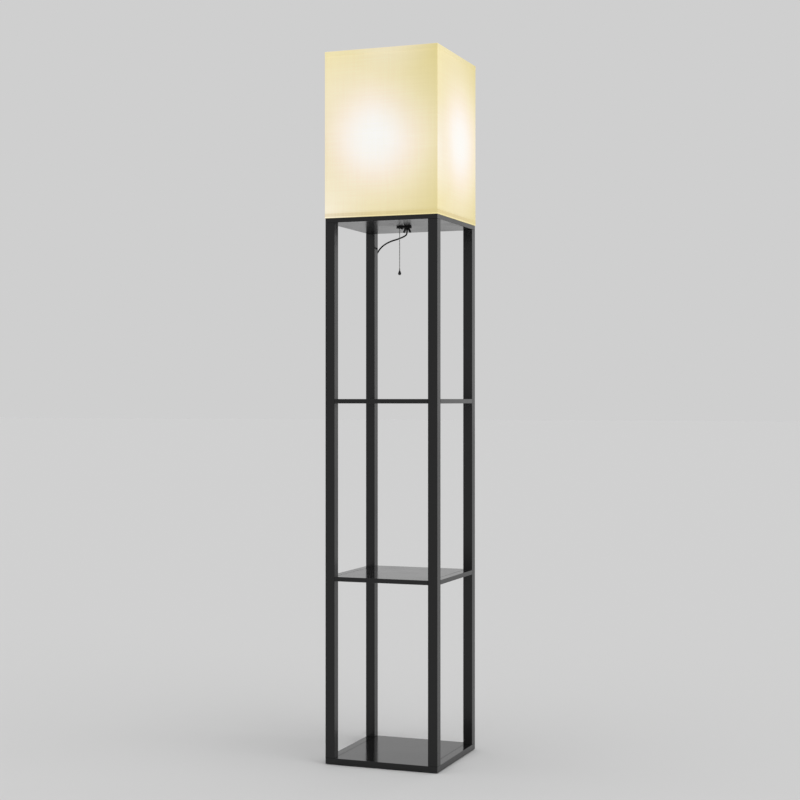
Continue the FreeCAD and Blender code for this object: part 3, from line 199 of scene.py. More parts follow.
def satin_black_lacquer(name, colours, rough_low, rough_high):
    """Lacquer of the posts and boards."""
    # Black lacquer sprayed on sanded fibreboard: near black face on, and a soft mirror of the
    # room at a flat angle. A faint orange peel 2 to 3 mm wide, rubbed patches about 100 mm wide
    # and fine dust nibs break the mirror up.
    material, tree = new_material(name)
    place = add(tree, "TexCoord").outputs["Object"]
    rubbed = add(tree, "TexNoise", {"Vector": place, "Scale": 10.0, "Detail": 4.0,
                                    "Roughness": 0.6})
    peel = add(tree, "TexNoise", {"Vector": place, "Scale": 400.0, "Detail": 1.0})
    nibs = add(tree, "TexVoronoi", {"Vector": place, "Scale": 90.0})
    nib = add(tree, "MapRange", {"Value": nibs, "From Min": 0.0, "From Max": 0.035,
                                 "To Min": 1.0, "To Max": 0.0})
    height = add(tree, "Math", {0: nib, 1: 0.35, 2: peel}, operation="MULTIPLY_ADD")
    bump = add(tree, "Bump", {"Height": height, "Strength": 0.10, "Distance": 0.0003})
    rough = add(tree, "MapRange", {"Value": rubbed, "From Min": 0.3, "From Max": 0.7,
                                   "To Min": rough_low, "To Max": rough_high})
    tint = add(tree, "Mix", {"Factor": rubbed, "A": colours.lacquer, "B": colours.lacquer_rubbed},
               data_type="RGBA")
    surface = add(tree, "BsdfPrincipled", {"Base Color": tint, "IOR": 1.47, "Roughness": rough,
                                           "Normal": bump})
    add(tree, "OutputMaterial", {"Surface": surface})
    return material


def woven_threads(tree, place, spacing):
    """Height of a plain weave, from about 0.6 in its hollows to 1.4 on its slubs."""
    split = add(tree, "SeparateXYZ", {"Vector": place})
    around = add(tree, "Math", {0: split.outputs["X"], 1: split.outputs["Y"]}, operation="ADD")
    pitch = 2 * math.pi / spacing
    warp = add(tree, "Math", {0: around, 1: pitch}, operation="MULTIPLY")
    weft = add(tree, "Math", {0: split.outputs["Z"], 1: pitch}, operation="MULTIPLY")
    warp_wave = add(tree, "Math", {0: warp}, operation="SINE")
    weft_wave = add(tree, "Math", {0: weft}, operation="SINE")
    weave = add(tree, "Math", {0: warp_wave, 1: weft_wave}, operation="MULTIPLY")
    across, along = 330.0, 12.0  # cells of noise in a metre of cloth
    flat = add(tree, "Mapping", {"Vector": place, "Scale": (along, along, across)})
    upright = add(tree, "Mapping", {"Vector": place, "Scale": (across, across, along)})
    weft_slub = add(tree, "TexNoise", {"Vector": flat, "Scale": 1.0, "Detail": 2.0})
    warp_slub = add(tree, "TexNoise", {"Vector": upright, "Scale": 1.0, "Detail": 2.0})
    slubs = add(tree, "Math", {0: weft_slub, 1: warp_slub}, operation="ADD")
    return add(tree, "Math", {0: weave, 1: 0.07, 2: slubs}, operation="MULTIPLY_ADD")


def bulb_light(tree, place, level, centre):
    """Strength of the bulb's light on a wall, which falls off with its distance and slant."""
    offset = add(tree, "VectorMath", {0: place, 1: tuple(centre)}, operation="SUBTRACT")
    squares = add(tree, "VectorMath", {0: offset, 1: offset}, operation="MULTIPLY")
    sideways = add(tree, "VectorMath", {0: squares, 1: level}, operation="DOT_PRODUCT")
    slant = add(tree, "Math", {0: sideways, 1: 1 / GLOW_DEPTH ** 2, 2: 1.0},
                operation="MULTIPLY_ADD")
    cube = add(tree, "Math", {0: slant, 1: 1.5}, operation="POWER")
    return add(tree, "Math", {0: GLOW_PEAK, 1: cube}, operation="DIVIDE")


def glow_colour(tree, place, faces, glow, colours):
    """Colour of the light through the cloth by its strength, with painted patches of paler and
    duller light.
    """
    ramp = add(tree, "ValToRGB", {"Fac": glow})
    stops = [(0.12, colours.glow_edge), (0.30, colours.glow_outer), (0.45, colours.glow_middle),
             (0.60, colours.glow_inner), (0.75, colours.glow_heart)]
    ramp.color_ramp.interpolation = "B_SPLINE"
    while len(ramp.color_ramp.elements) < len(stops):
        ramp.color_ramp.elements.new(0.5)
    for element, (spot, colour) in zip(ramp.color_ramp.elements, stops):
        element.position = spot
        element.color = colour
    light = ramp
    # Painted patches of paler and duller light, each fading out over its reach.
    for spot, most, wall, colour in PAINTED_LIGHT_PLACES:
        away = add(tree, "VectorMath", {0: place, 1: spot}, operation="DISTANCE")
        share = add(tree, "MapRange", {"Value": away, "From Max": PLACE_REACH, "To Min": most,
                                       "To Max": 0.0})
        on_wall = add(tree, "Math", {0: share, 1: faces.outputs[wall]}, operation="MULTIPLY")
        light = add(tree, "Mix", {"Factor": on_wall, "A": light, "B": getattr(colours, colour)},
                    data_type="RGBA")
    return light


def painted_end_shade(tree, place, level, glow):
    """Painted shade of a wall far from the bulb above 0, towards one end; painted light below 0,
    towards the other.
    """
    # Painted shade, as of a strut, falls on the dull end, which is also painted yellower.
    floor_place = add(tree, "VectorMath", {0: place, 1: (1.0, 1.0, 0.0)}, operation="MULTIPLY")
    along = add(tree, "VectorMath", {0: floor_place, 1: level}, operation="DOT_PRODUCT")
    end = add(tree, "MapRange", {"Value": along, "From Min": -SHADE_HIGH.x,
                                 "From Max": SHADE_HIGH.x, "To Min": END_BRIGHTEST,
                                 "To Max": END_DULLEST})
    far = add(tree, "MapRange", {"Value": glow, "From Min": 0.10, "From Max": 0.32,
                                 "To Min": 1.0, "To Max": 0.0})
    return add(tree, "Math", {0: end, 1: far}, operation="MULTIPLY")


def lit_linen(name, colours, sizes, cloth, slub, shade, leak):
    """Cloth lit from inside; shade dims its glow, and leak brightens its lowest edge."""
    # Plain-woven cream linen on a clear backing: chalky, with thick and thin threads, whitest
    # beside the bulb and warmer towards the edges. Real threads are 0.5 mm apart. They are drawn
    # 1.2 mm apart, and the slubs 3 mm wide and 80 mm long, as fine as a picture of the whole lamp
    # can show.
    material, tree = new_material(name)
    place = add(tree, "TexCoord").outputs["Object"]
    threads = woven_threads(tree, place, sizes.thread_spacing)
    thin = add(tree, "MapRange", {"Value": threads, "From Min": 0.6, "From Max": 1.4,
                                  "To Min": 0.0, "To Max": 1.0})
    # Swapping the parts of each wall's squared normal picks the directions along the wall.
    normal = add(tree, "NewGeometry").outputs["True Normal"]
    facing = add(tree, "VectorMath", {0: normal, 1: normal}, operation="MULTIPLY")
    faces = add(tree, "SeparateXYZ", {"Vector": facing})
    level = add(tree, "CombineXYZ", {"X": faces.outputs["Y"], "Y": faces.outputs["X"], "Z": 1.0})
    glow = bulb_light(tree, place, level, sizes.glow_centre)
    light = glow_colour(tree, place, faces, glow, colours)
    through = add(tree, "MapRange", {"Value": thin, "To Min": 0.985, "To Max": 1.015})
    height = add(tree, "SeparateXYZ", {"Vector": place}).outputs["Z"]
    edge = add(tree, "MapRange", {"Value": height, "From Min": SHADE_LOW.z + 0.0015,
                                  "From Max": SHADE_LOW.z + 0.0030, "To Min": shade + leak,
                                  "To Max": shade})
    strength = add(tree, "Math", {0: edge, 1: through}, operation="MULTIPLY")
    # Painted shade dims and yellows one end of each wall far from the bulb; painted light
    # brightens the other.
    dull = painted_end_shade(tree, place, level, glow)
    kept = add(tree, "MapRange", {"Value": dull, "From Min": END_BRIGHTEST,
                                  "From Max": END_DULLEST, "To Min": 1.18, "To Max": 0.77})
    lit = add(tree, "Math", {0: strength, 1: kept}, operation="MULTIPLY")
    thread = add(tree, "Mix", {"Factor": thin, "A": slub, "B": cloth}, data_type="RGBA")
    # The painted shade also yellows the cloth's own colour.
    tint = add(tree, "Mix", {"Factor": dull, "A": thread, "B": colours.linen_painted_shade},
               data_type="RGBA")
    bump = add(tree, "Bump", {"Height": threads, "Strength": 0.15, "Distance": 0.0002})
    surface = add(tree, "BsdfPrincipled", {
        "Base Color": tint, "Roughness": 0.85, "Sheen Weight": 0.15, "Sheen Roughness": 0.4,
        "Specular IOR Level": 0.25, "Normal": bump, "Emission Color": light,
        "Emission Strength": lit})
    add(tree, "OutputMaterial", {"Surface": surface})
    return material


def moulded_plastic(name, colour, rough_low, rough_high, grain, gloss=0.5):
    """Moulded plastic; grain is its texture's cells in a metre, gloss the level of its mirror."""
    # Injection-moulded parts: a fine even spark-eroded grain, slightly shinier where hands have
    # touched. The bulb's black glass is as plain and smoother, and the tie's paper rougher.
    material, tree = new_material(name)
    place = add(tree, "TexCoord").outputs["Object"]
    fine = add(tree, "TexNoise", {"Vector": place, "Scale": grain, "Detail": 2.0})
    worn = add(tree, "TexNoise", {"Vector": place, "Scale": 60.0, "Detail": 3.0})
    bump = add(tree, "Bump", {"Height": fine, "Strength": 0.3, "Distance": 0.0001})
    rough = add(tree, "MapRange", {"Value": worn, "From Min": 0.3, "From Max": 0.7,
                                   "To Min": rough_low, "To Max": rough_high})
    speck = add(tree, "MapRange", {"Value": fine, "To Min": 0.8, "To Max": 1.2})
    tint = add(tree, "HueSaturation", {"Color": colour, "Value": speck})
    surface = add(tree, "BsdfPrincipled", {"Base Color": tint, "Specular IOR Level": gloss,
                                           "Roughness": rough, "Normal": bump})
    add(tree, "OutputMaterial", {"Surface": surface})
    return material


def plated_metal(name, colour, dark, roughness, thread_pitch=None):
    """Plated or bare metal; a thread pitch draws turned rings along the upright axis."""
    # Barrel-plated small parts: cloudy lustre, darker in cloudy patches, and hairline scratches.
    material, tree = new_material(name)
    place = add(tree, "TexCoord").outputs["Object"]
    cloud = add(tree, "TexNoise", {"Vector": place, "Scale": 180.0, "Detail": 4.0,
                                   "Roughness": 0.65})
    rough = add(tree, "MapRange", {"Value": cloud, "From Min": 0.3, "From Max": 0.7,
                                   "To Min": roughness * 0.8, "To Max": roughness * 1.4})
    tint = add(tree, "Mix", {"Factor": cloud, "A": dark, "B": colour}, data_type="RGBA")
    if thread_pitch:
        rings = add(tree, "TexWave", {"Vector": place, "Scale": WAVE_BAND / thread_pitch},
                    bands_direction="Z", wave_profile="TRI")
        height, depth = rings.outputs["Fac"], 0.0004
    else:
        stretched = add(tree, "Mapping", {"Vector": place, "Scale": (3000.0, 3000.0, 260.0),
                                          "Rotation": (0.4, 0.2, 0.0)})
        scratches = add(tree, "TexNoise", {"Vector": stretched, "Scale": 1.0, "Detail": 1.0})
        height, depth = scratches, 0.00002
    bump = add(tree, "Bump", {"Height": height, "Strength": 0.5, "Distance": depth})
    surface = add(tree, "BsdfPrincipled", {"Base Color": tint, "Metallic": 1.0,
                                           "Roughness": rough, "Normal": bump})
    add(tree, "OutputMaterial", {"Surface": surface})
    return material


def baked_enamel(name, colour, aged):
    """White enamel of the wiring box and the shade's wires, and glaze of the terminal block."""
    # Stoved enamel on steel, or glaze fired on porcelain: smooth and glossy, a little yellowed,
    # with slow waves where it ran before it set.
    material, tree = new_material(name)
    place = add(tree, "TexCoord").outputs["Object"]
    age = add(tree, "TexNoise", {"Vector": place, "Scale": 25.0, "Detail": 3.0})
    runs = add(tree, "TexNoise", {"Vector": place, "Scale": 220.0, "Detail": 1.0})
    tint = add(tree, "Mix", {"Factor": age, "A": colour, "B": aged}, data_type="RGBA")
    bump = add(tree, "Bump", {"Height": runs, "Strength": 0.15, "Distance": 0.0003})
    rough = add(tree, "MapRange", {"Value": age, "To Min": 0.22, "To Max": 0.4})
    surface = add(tree, "BsdfPrincipled", {"Base Color": tint, "IOR": 1.5, "Roughness": rough,
                                           "Normal": bump})
    add(tree, "OutputMaterial", {"Surface": surface})
    return material


def opal_plastic(name, colour, glow, strength):
    """Frosted globe of the bulb, or its white neck, whose faint glow is painted light."""
    # Opal polycarbonate, blasted inside: an even milky light with a barely mottled skin.
    material, tree = new_material(name)
    place = add(tree, "TexCoord").outputs["Object"]
    mottle = add(tree, "TexNoise", {"Vector": place, "Scale": 120.0, "Detail": 3.0})
    tint = add(tree, "Mix", {"Factor": mottle, "A": colour, "B": glow}, data_type="RGBA")
    rough = add(tree, "MapRange", {"Value": mottle, "To Min": 0.35, "To Max": 0.55})
    shine = add(tree, "MapRange", {"Value": mottle, "To Min": strength * 0.96,
                                   "To Max": strength * 1.04})
    surface = add(tree, "BsdfPrincipled", {
        "Base Color": tint, "IOR": 1.58, "Roughness": rough, "Emission Color": glow,
        "Emission Strength": shine})
    add(tree, "OutputMaterial", {"Surface": surface})
    return material


def pressed_felt(colours):
    """Felt of the pads under the base."""
    # Pressed wool felt: no gloss, a soft nap and tangled fibres 0.3 mm wide.
    material, tree = new_material("pressed_felt")
    place = add(tree, "TexCoord").outputs["Object"]
    fibres = add(tree, "TexNoise", {"Vector": place, "Scale": 1500.0, "Detail": 4.0,
                                    "Distortion": 1.5})
    tint = add(tree, "Mix", {"Factor": fibres, "A": colours.felt_dark, "B": colours.felt},
               data_type="RGBA")
    bump = add(tree, "Bump", {"Height": fibres, "Strength": 0.8, "Distance": 0.0004})
    surface = add(tree, "BsdfPrincipled", {
        "Base Color": tint, "Roughness": 0.95, "Sheen Weight": 0.4, "Sheen Roughness": 0.5,
        "Specular IOR Level": 0.1, "Normal": bump})
    add(tree, "OutputMaterial", {"Surface": surface})
    return material


# --- settings ---

class LampSizes(bpy.types.PropertyGroup):
    """Sizes of the dressed pieces."""

    cloth_thickness: bpy.props.FloatProperty(
        name="Cloth thickness", description="Linen with its backing", default=0.0008,
        min=0.0002, unit="LENGTH")
    tape_thickness: bpy.props.FloatProperty(
        name="Tape thickness", description="Folded tape along the shade's edges",
        default=0.00035, min=0.0001, unit="LENGTH")
    hem_height: bpy.props.FloatProperty(
        name="Hem height", description="How far the tape reaches up the cloth", default=0.010,
        min=0.002, unit="LENGTH")
    thread_spacing: bpy.props.FloatProperty(
        name="Thread spacing", description="From one thread of the cloth to the next",
        default=0.0012, min=0.0002, unit="LENGTH")
    glow_centre: bpy.props.FloatVectorProperty(
        name="Glow centre", description="Where the light on the cloth seems to come from",
        default=(-0.015, 0.017, 1.405), subtype="XYZ", unit="LENGTH")
    cord_diameter: bpy.props.FloatProperty(
        name="Cord diameter", description="Outside diameter of the mains cord", default=0.0036,
        min=0.001, unit="LENGTH")
    cord_length: bpy.props.FloatProperty(
        name="Cord length", description="From the strain relief to the plug", default=2.478,
        min=0.1, unit="LENGTH")


class LampColours(bpy.types.PropertyGroup):
    """Colours of the dressed pieces."""

    lacquer: bpy.props.FloatVectorProperty(
        name="Lacquer", description="Black of the posts and boards",
        default=rgba("040405"), **COLOUR)
    lacquer_rubbed: bpy.props.FloatVectorProperty(
        name="Rubbed lacquer", description="Where the black is slightly rubbed",
        default=rgba("090909"), **COLOUR)
    linen: bpy.props.FloatVectorProperty(
        name="Linen", description="Cream of the cloth", default=rgba("d8c9a4"), **COLOUR)
    linen_dark: bpy.props.FloatVectorProperty(
        name="Linen slubs", description="Thicker threads of the cloth",
        default=rgba("d3c39c"), **COLOUR)
    # Painted shade: the cloth's colour where a strut's shade is painted on.
    linen_painted_shade: bpy.props.FloatVectorProperty(
        name="Dull linen", description="Cloth in a strut's shade",
        default=rgba("d4c388"), **COLOUR)
    tape: bpy.props.FloatVectorProperty(
        name="Tape", description="Doubled cloth along the shade's edges",
        default=rgba("cbb78b"), **COLOUR)
    tape_dark: bpy.props.FloatVectorProperty(
        name="Tape slubs", description="Thicker threads of the tape",
        default=rgba("bfa876"), **COLOUR)
    glow_edge: bpy.props.FloatVectorProperty(
        name="Glow, far", description="Light through the cloth far from the bulb",
        default=rgba("979162"), **COLOUR)
    glow_outer: bpy.props.FloatVectorProperty(
        name="Glow, outer", description="Light through the cloth a third of the way in",
        default=rgba("a7a38c"), **COLOUR)
    glow_middle: bpy.props.FloatVectorProperty(
        name="Glow, middle", description="Light through the cloth half way",
        default=rgba("b2aaac"), **COLOUR)
    glow_inner: bpy.props.FloatVectorProperty(
        name="Glow, inner", description="Light through the cloth close to the bulb",
        default=rgba("b5bac9"), **COLOUR)
    glow_heart: bpy.props.FloatVectorProperty(
        name="Glow, heart", description="Light through the cloth beside the bulb",
        default=rgba("b0bfd3"), **COLOUR)
    # Painted light: the colour of the painted paler patches on the cloth.
    glow_pale: bpy.props.FloatVectorProperty(
        name="Glow, pale", description="Light where the cloth lets more white through",
        default=rgba("afafb3"), **COLOUR)
    # Painted shade: the colour of the painted duller patches on the cloth.
    glow_dull: bpy.props.FloatVectorProperty(
        name="Glow, dull", description="Light where the cloth lets less through",
        default=rgba("848438"), **COLOUR)
    felt: bpy.props.FloatVectorProperty(
        name="Felt", description="Pads under the base", default=rgba("3a3a3c"), **COLOUR)
    felt_dark: bpy.props.FloatVectorProperty(
        name="Felt hollows", description="Between the felt's fibres",
        default=rgba("1c1c1e"), **COLOUR)
    floor: bpy.props.FloatVectorProperty(
        name="Floor", description="Pale grey floor and room", default=rgba("cfcfcf"), **COLOUR)


# --- pieces ---

class LAMP_OT_lacquered_frame(bpy.types.Operator):
    """Lacquer the posts and boards, and finish their fasteners"""

    bl_idname = "lamp.lacquered_frame"
    bl_label = "Lacquered frame"

    def execute(self, context):
        colours = context.scene.lamp_colours
        corners = ("front_left", "front_right", "rear_left", "rear_right")
        posts = [f"{corner}_{level}_post" for corner in corners
                 for level in ("lower", "middle", "upper")]
        lacquer = satin_black_lacquer("lacquered_posts", colours, rough_low=0.20, rough_high=0.28)
        finish_nodes(lacquer, posts)
        shelves = satin_black_lacquer("polished_lacquered_boards", colours, rough_low=0.11,
                                      rough_high=0.18)
        finish_nodes(shelves, ["base_board", "lower_shelf", "upper_shelf"])
        top = satin_black_lacquer("lacquered_top_board", colours, rough_low=0.19, rough_high=0.27)
        finish_nodes(top, ["top_board"])
        zinc = plated_metal("bright_zinc_plate", rgba("c3c6c9"), rgba("8d9195"), roughness=0.28)
        finish_nodes(zinc, ["base_bolts", "top_bolts"])
        studding = plated_metal("zinc_studding", rgba("c3c6c9"), rgba("7d8185"), roughness=0.32,
                                thread_pitch=0.001)
        finish_nodes(studding, ["joint_studs"])
        brass = plated_metal("turned_brass", rgba("d9b45f"), rgba("9c7a37"), roughness=0.25)
        finish_nodes(brass, ["threaded_inserts", "terminal_screws", "screw_shell",
                             "centre_contact"])
        return {"FINISHED"}


class LAMP_OT_felt_pads(bpy.types.Operator):
    """Cut the felt pads under the base"""

    bl_idname = "lamp.felt_pads"
    bl_label = "Felt pads"

    def execute(self, context):
        low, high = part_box("foot_pads")
        inset = 0.010  # from the pads' box to a pad's middle
        radius = 0.0099
        raggedness = 0.006
        bm = bmesh.new()
        for side_x in (low.x + inset, high.x - inset):
            for side_y in (low.y + inset, high.y - inset):
                place = Matrix.Translation((side_x, side_y, (low.z + high.z) / 2))
                made = bmesh.ops.create_cone(bm, cap_ends=True, segments=40, radius1=radius,
                                             radius2=radius, depth=high.z - low.z, matrix=place)
                for number, vert in enumerate(made["verts"]):
                    ragged = 1.0 + raggedness * math.sin(5.0 * number) * math.cos(1.7 * number)
                    bmesh.ops.scale(bm, vec=(ragged, ragged, 1.0), verts=[vert],
                                    space=place.inverted())
        rims = [edge for edge in bm.edges
                if abs(edge.verts[0].co.z - edge.verts[1].co.z) < 1e-6]
        bmesh.ops.bevel(bm, geom=rims, offset=0.0003, affect="EDGES", segments=2, profile=0.5,
                        material=-1)
        pads = make_piece("felt_pads", bm, pressed_felt(context.scene.lamp_colours))
        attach(pads, "root")
        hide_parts("foot_pads")
        return {"FINISHED"}


class LAMP_OT_shade(bpy.types.Operator):
    """Sew the cloth shade and its taped hems, and finish its wires"""

    bl_idname = "lamp.shade"
    bl_label = "Shade"

    def wrap(self, sizes, material):
        """One wrap of cloth round the frame, a little slack between its corners."""
        half = SHADE_FACE - 0.0003  # just under the tape
        low, high = SHADE_LOW.z + 0.0005, SHADE_HIGH.z - 0.0005
        slackest = 0.0004  # how far in the slackest cloth lies
        rows = 24
        rise = (high - low) / rows
        bm = bmesh.new()
        outline = rounded_outline(bm, half, half, corner=0.0016, cuts=23)
        bmesh.ops.translate(bm, vec=(0, 0, low), verts=bm.verts[:])
        for _ in range(rows):
            outline = draw_out(bm, outline, rise)
        bmesh.ops.recalc_face_normals(bm, faces=bm.faces[:])
        for vert in bm.verts:
            across = min(abs(vert.co.x), abs(vert.co.y))
            up = (vert.co.z - low) / (high - low)
            slack = (1 - (across / half) ** 2) * math.sin(math.pi * up)
            # Waves of 0.2 m along a wall, which lean as they rise.
            ripple = 0.5 + 0.5 * math.sin(31 * (vert.co.x + vert.co.y) + 9 * vert.co.z)
            inward = 1 - slackest * slack * ripple / half
            bmesh.ops.scale(bm, vec=(inward, inward, 1.0), verts=[vert])
        cloth = make_piece("shade_cloth", bm, material)
        add_modifier(cloth, "SOLIDIFY", thickness=sizes.cloth_thickness, offset=-1.0,
                     use_even_offset=True)
        return cloth

    def seam(self, material):
        """The cloth's overlapped end, glued down on the rear wall beside the left corner."""
        width = 0.012
        height = SHADE_HIGH.z - SHADE_LOW.z - 0.021  # between the tapes
        bm = bmesh.new()
        made = bmesh.ops.create_grid(bm, x_segments=4, y_segments=24, size=0.5)
        place = (Matrix.Translation((-0.1235, SHADE_FACE - 0.0001, SHADE_MIDDLE))
                 @ Matrix.Rotation(math.radians(-90), 4, "X"))
        bmesh.ops.scale(bm, vec=(width, height, 1.0), verts=made["verts"])
        bmesh.ops.transform(bm, matrix=place, verts=made["verts"])
        flap = make_piece("shade_seam", bm, material)
        add_modifier(flap, "SOLIDIFY", thickness=0.0003, offset=-1.0)
        return flap

    def hems(self, sizes, low_material, high_material):
        """Tape folded over both edges of the cloth and the wire rings."""
        thickness = sizes.tape_thickness
        half = SHADE_FACE - 0.00005 - thickness / 2
        inner = half - 0.0029  # inside the rings
        round_in, round_down = 0.0003, 0.0004  # the rounding of the fold
        bm = bmesh.new()
        for edge, up in ((SHADE_LOW.z + thickness / 2, 1), (SHADE_HIGH.z - thickness / 2, -1)):
            part = bmesh.new()
            outline = rounded_outline(part, half, half, corner=0.0019, cuts=15)
            bmesh.ops.translate(part, vec=(0, 0, edge + up * sizes.hem_height),
                                verts=part.verts[:])
            half_drop = -up * (sizes.hem_height - round_down) / 2
            fold = ((half_drop, 1.0), (half_drop, 1.0),
                    (-up * round_down, (half - round_in) / half),
                    (0.0, (inner + round_in) / (half - round_in)),
                    (up * round_down, inner / (inner + round_in)),
                    (-half_drop, 1.0), (-half_drop, 1.0))
            for rise, grow in fold:
                outline = draw_out(part, outline, rise, grow)
            bmesh.ops.recalc_face_normals(part, faces=part.faces[:])
            scrap = bpy.data.meshes.new("hem")
            part.to_mesh(scrap)
            part.free()
            bm.from_mesh(scrap)
            bpy.data.meshes.remove(scrap)
        for face in bm.faces:
            face.material_index = int(face.calc_center_median().z > SHADE_MIDDLE)
        hem = make_piece("shade_hem_tape", bm, low_material, smooth=False)
        hem.data.materials.append(high_material)
        add_modifier(hem, "SOLIDIFY", thickness=thickness, offset=0.0)
        return hem

    def execute(self, context):
        sizes = context.scene.lamp_sizes
        colours = context.scene.lamp_colours
        linen = lit_linen("woven_linen_lit_from_inside", colours, sizes, colours.linen,
                          colours.linen_dark, shade=1.0, leak=0.0)
        tape = lit_linen("doubled_linen_tape", colours, sizes, colours.tape, colours.tape_dark,
                         shade=0.90, leak=0.60)
        cloth = self.wrap(sizes, linen)
        flap = self.seam(linen)
        hem = self.hems(sizes, tape, linen)
        for piece in (cloth, flap, hem):
            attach(piece, "root")
        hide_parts("shade_fabric")
        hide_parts("shade_hems")
        enamel = baked_enamel("stoved_white_enamel", rgba("ece8dd"), rgba("d8d0bb"))
        finish_nodes(enamel, ["shade_rings", "shade_struts", "shade_fitter", "wiring_box"])
        return {"FINISHED"}


class LAMP_OT_hub(bpy.types.Operator):
    """Finish the plate, cord grip, screws and pull chain under the top board"""

    bl_idname = "lamp.hub"
    bl_label = "Hub and pull chain"

    def execute(self, context):
        nylon = moulded_plastic("moulded_black_nylon", rgba("0a0a0b"), rough_low=0.4,
                                rough_high=0.55, grain=900.0, gloss=0.2)
        finish_nodes(nylon, ["hub_plate", "cord_grip", "switch_body", "cord_clips"])
        acetal = moulded_plastic("moulded_white_acetal", rgba("d8d6cf"), rough_low=0.3,
                                 rough_high=0.42, grain=900.0)
        finish_nodes(acetal, ["switch_drum"])
        blacked = plated_metal("blacked_steel", rgba("2a2a2c"), rgba("161617"), roughness=0.35)
        finish_nodes(blacked, ["plate_screws"])
        nickel = plated_metal("nickel_plated_chain", rgba("a5a4a1"), rgba("696862"),
                              roughness=0.22)
        finish_nodes(nickel, ["chain_lead", "chain_upper", "chain_lower", "chain_connector"])
        pull = moulded_plastic("polished_black_pull", rgba("0d0d0e"), rough_low=0.12,
                               rough_high=0.2, grain=300.0)
        finish_nodes(pull, ["chain_pull"])
        zinc = plated_metal("zinc_plated_nut", rgba("c3c6c9"), rgba("8d9195"), roughness=0.3)
        finish_nodes(zinc, ["nozzle_nut", "nipple_nuts", "box_screws"])
        return {"FINISHED"}


class LAMP_OT_lampholder(bpy.types.Operator):
    """Finish the lampholder and its wiring"""

    bl_idname = "lamp.lampholder"
    bl_label = "Lampholder"

    def execute(self, context):
        phenolic = moulded_plastic("pressed_phenolic", rgba("1b1613"), rough_low=0.22,
                                   rough_high=0.34, grain=500.0)
        finish_nodes(phenolic, ["holder_cap", "holder_shell", "ring_nut"])
        porcelain = baked_enamel("glazed_porcelain", rgba("efece4"), rgba("e2dccd"))
        finish_nodes(porcelain, ["terminal_block"])
        tube = plated_metal("zinc_plated_nipple", rgba("c0c2c4"), rgba("84878a"), roughness=0.3,
                            thread_pitch=0.001)
        finish_nodes(tube, ["nipple"])
        wire = moulded_plastic("black_wire_sleeve", rgba("17171a"), rough_low=0.35, rough_high=0.5,
                               grain=700.0)
        finish_nodes(wire, ["inner_cord", "supply_wires"])
        return {"FINISHED"}


class LAMP_OT_bulb(bpy.types.Operator):
    """Light the bulb and finish its cap"""

    bl_idname = "lamp.bulb"
    bl_label = "Bulb"

    def execute(self, context):
        globe = opal_plastic("frosted_globe_lit", rgba("dddad2"), rgba("fff6e2"), strength=0.42)
        finish_nodes(globe, ["bulb_globe"])
        # The neck makes no light of its own: its faint glow is painted light.
        neck = opal_plastic("white_bulb_neck", rgba("e9e6df"), rgba("f3eee2"), strength=0.10)
        finish_nodes(neck, ["bulb_neck"])
        cap = plated_metal("nickel_bulb_cap", rgba("c9c7c1"), rgba("8e8c86"), roughness=0.26)
        finish_nodes(cap, ["bulb_cap"])
        tip = moulded_plastic("black_glass_insulator", rgba("0b0b0c"), rough_low=0.08,
                              rough_high=0.14, grain=200.0)
        finish_nodes(tip, ["bulb_tip"])
        return {"FINISHED"}


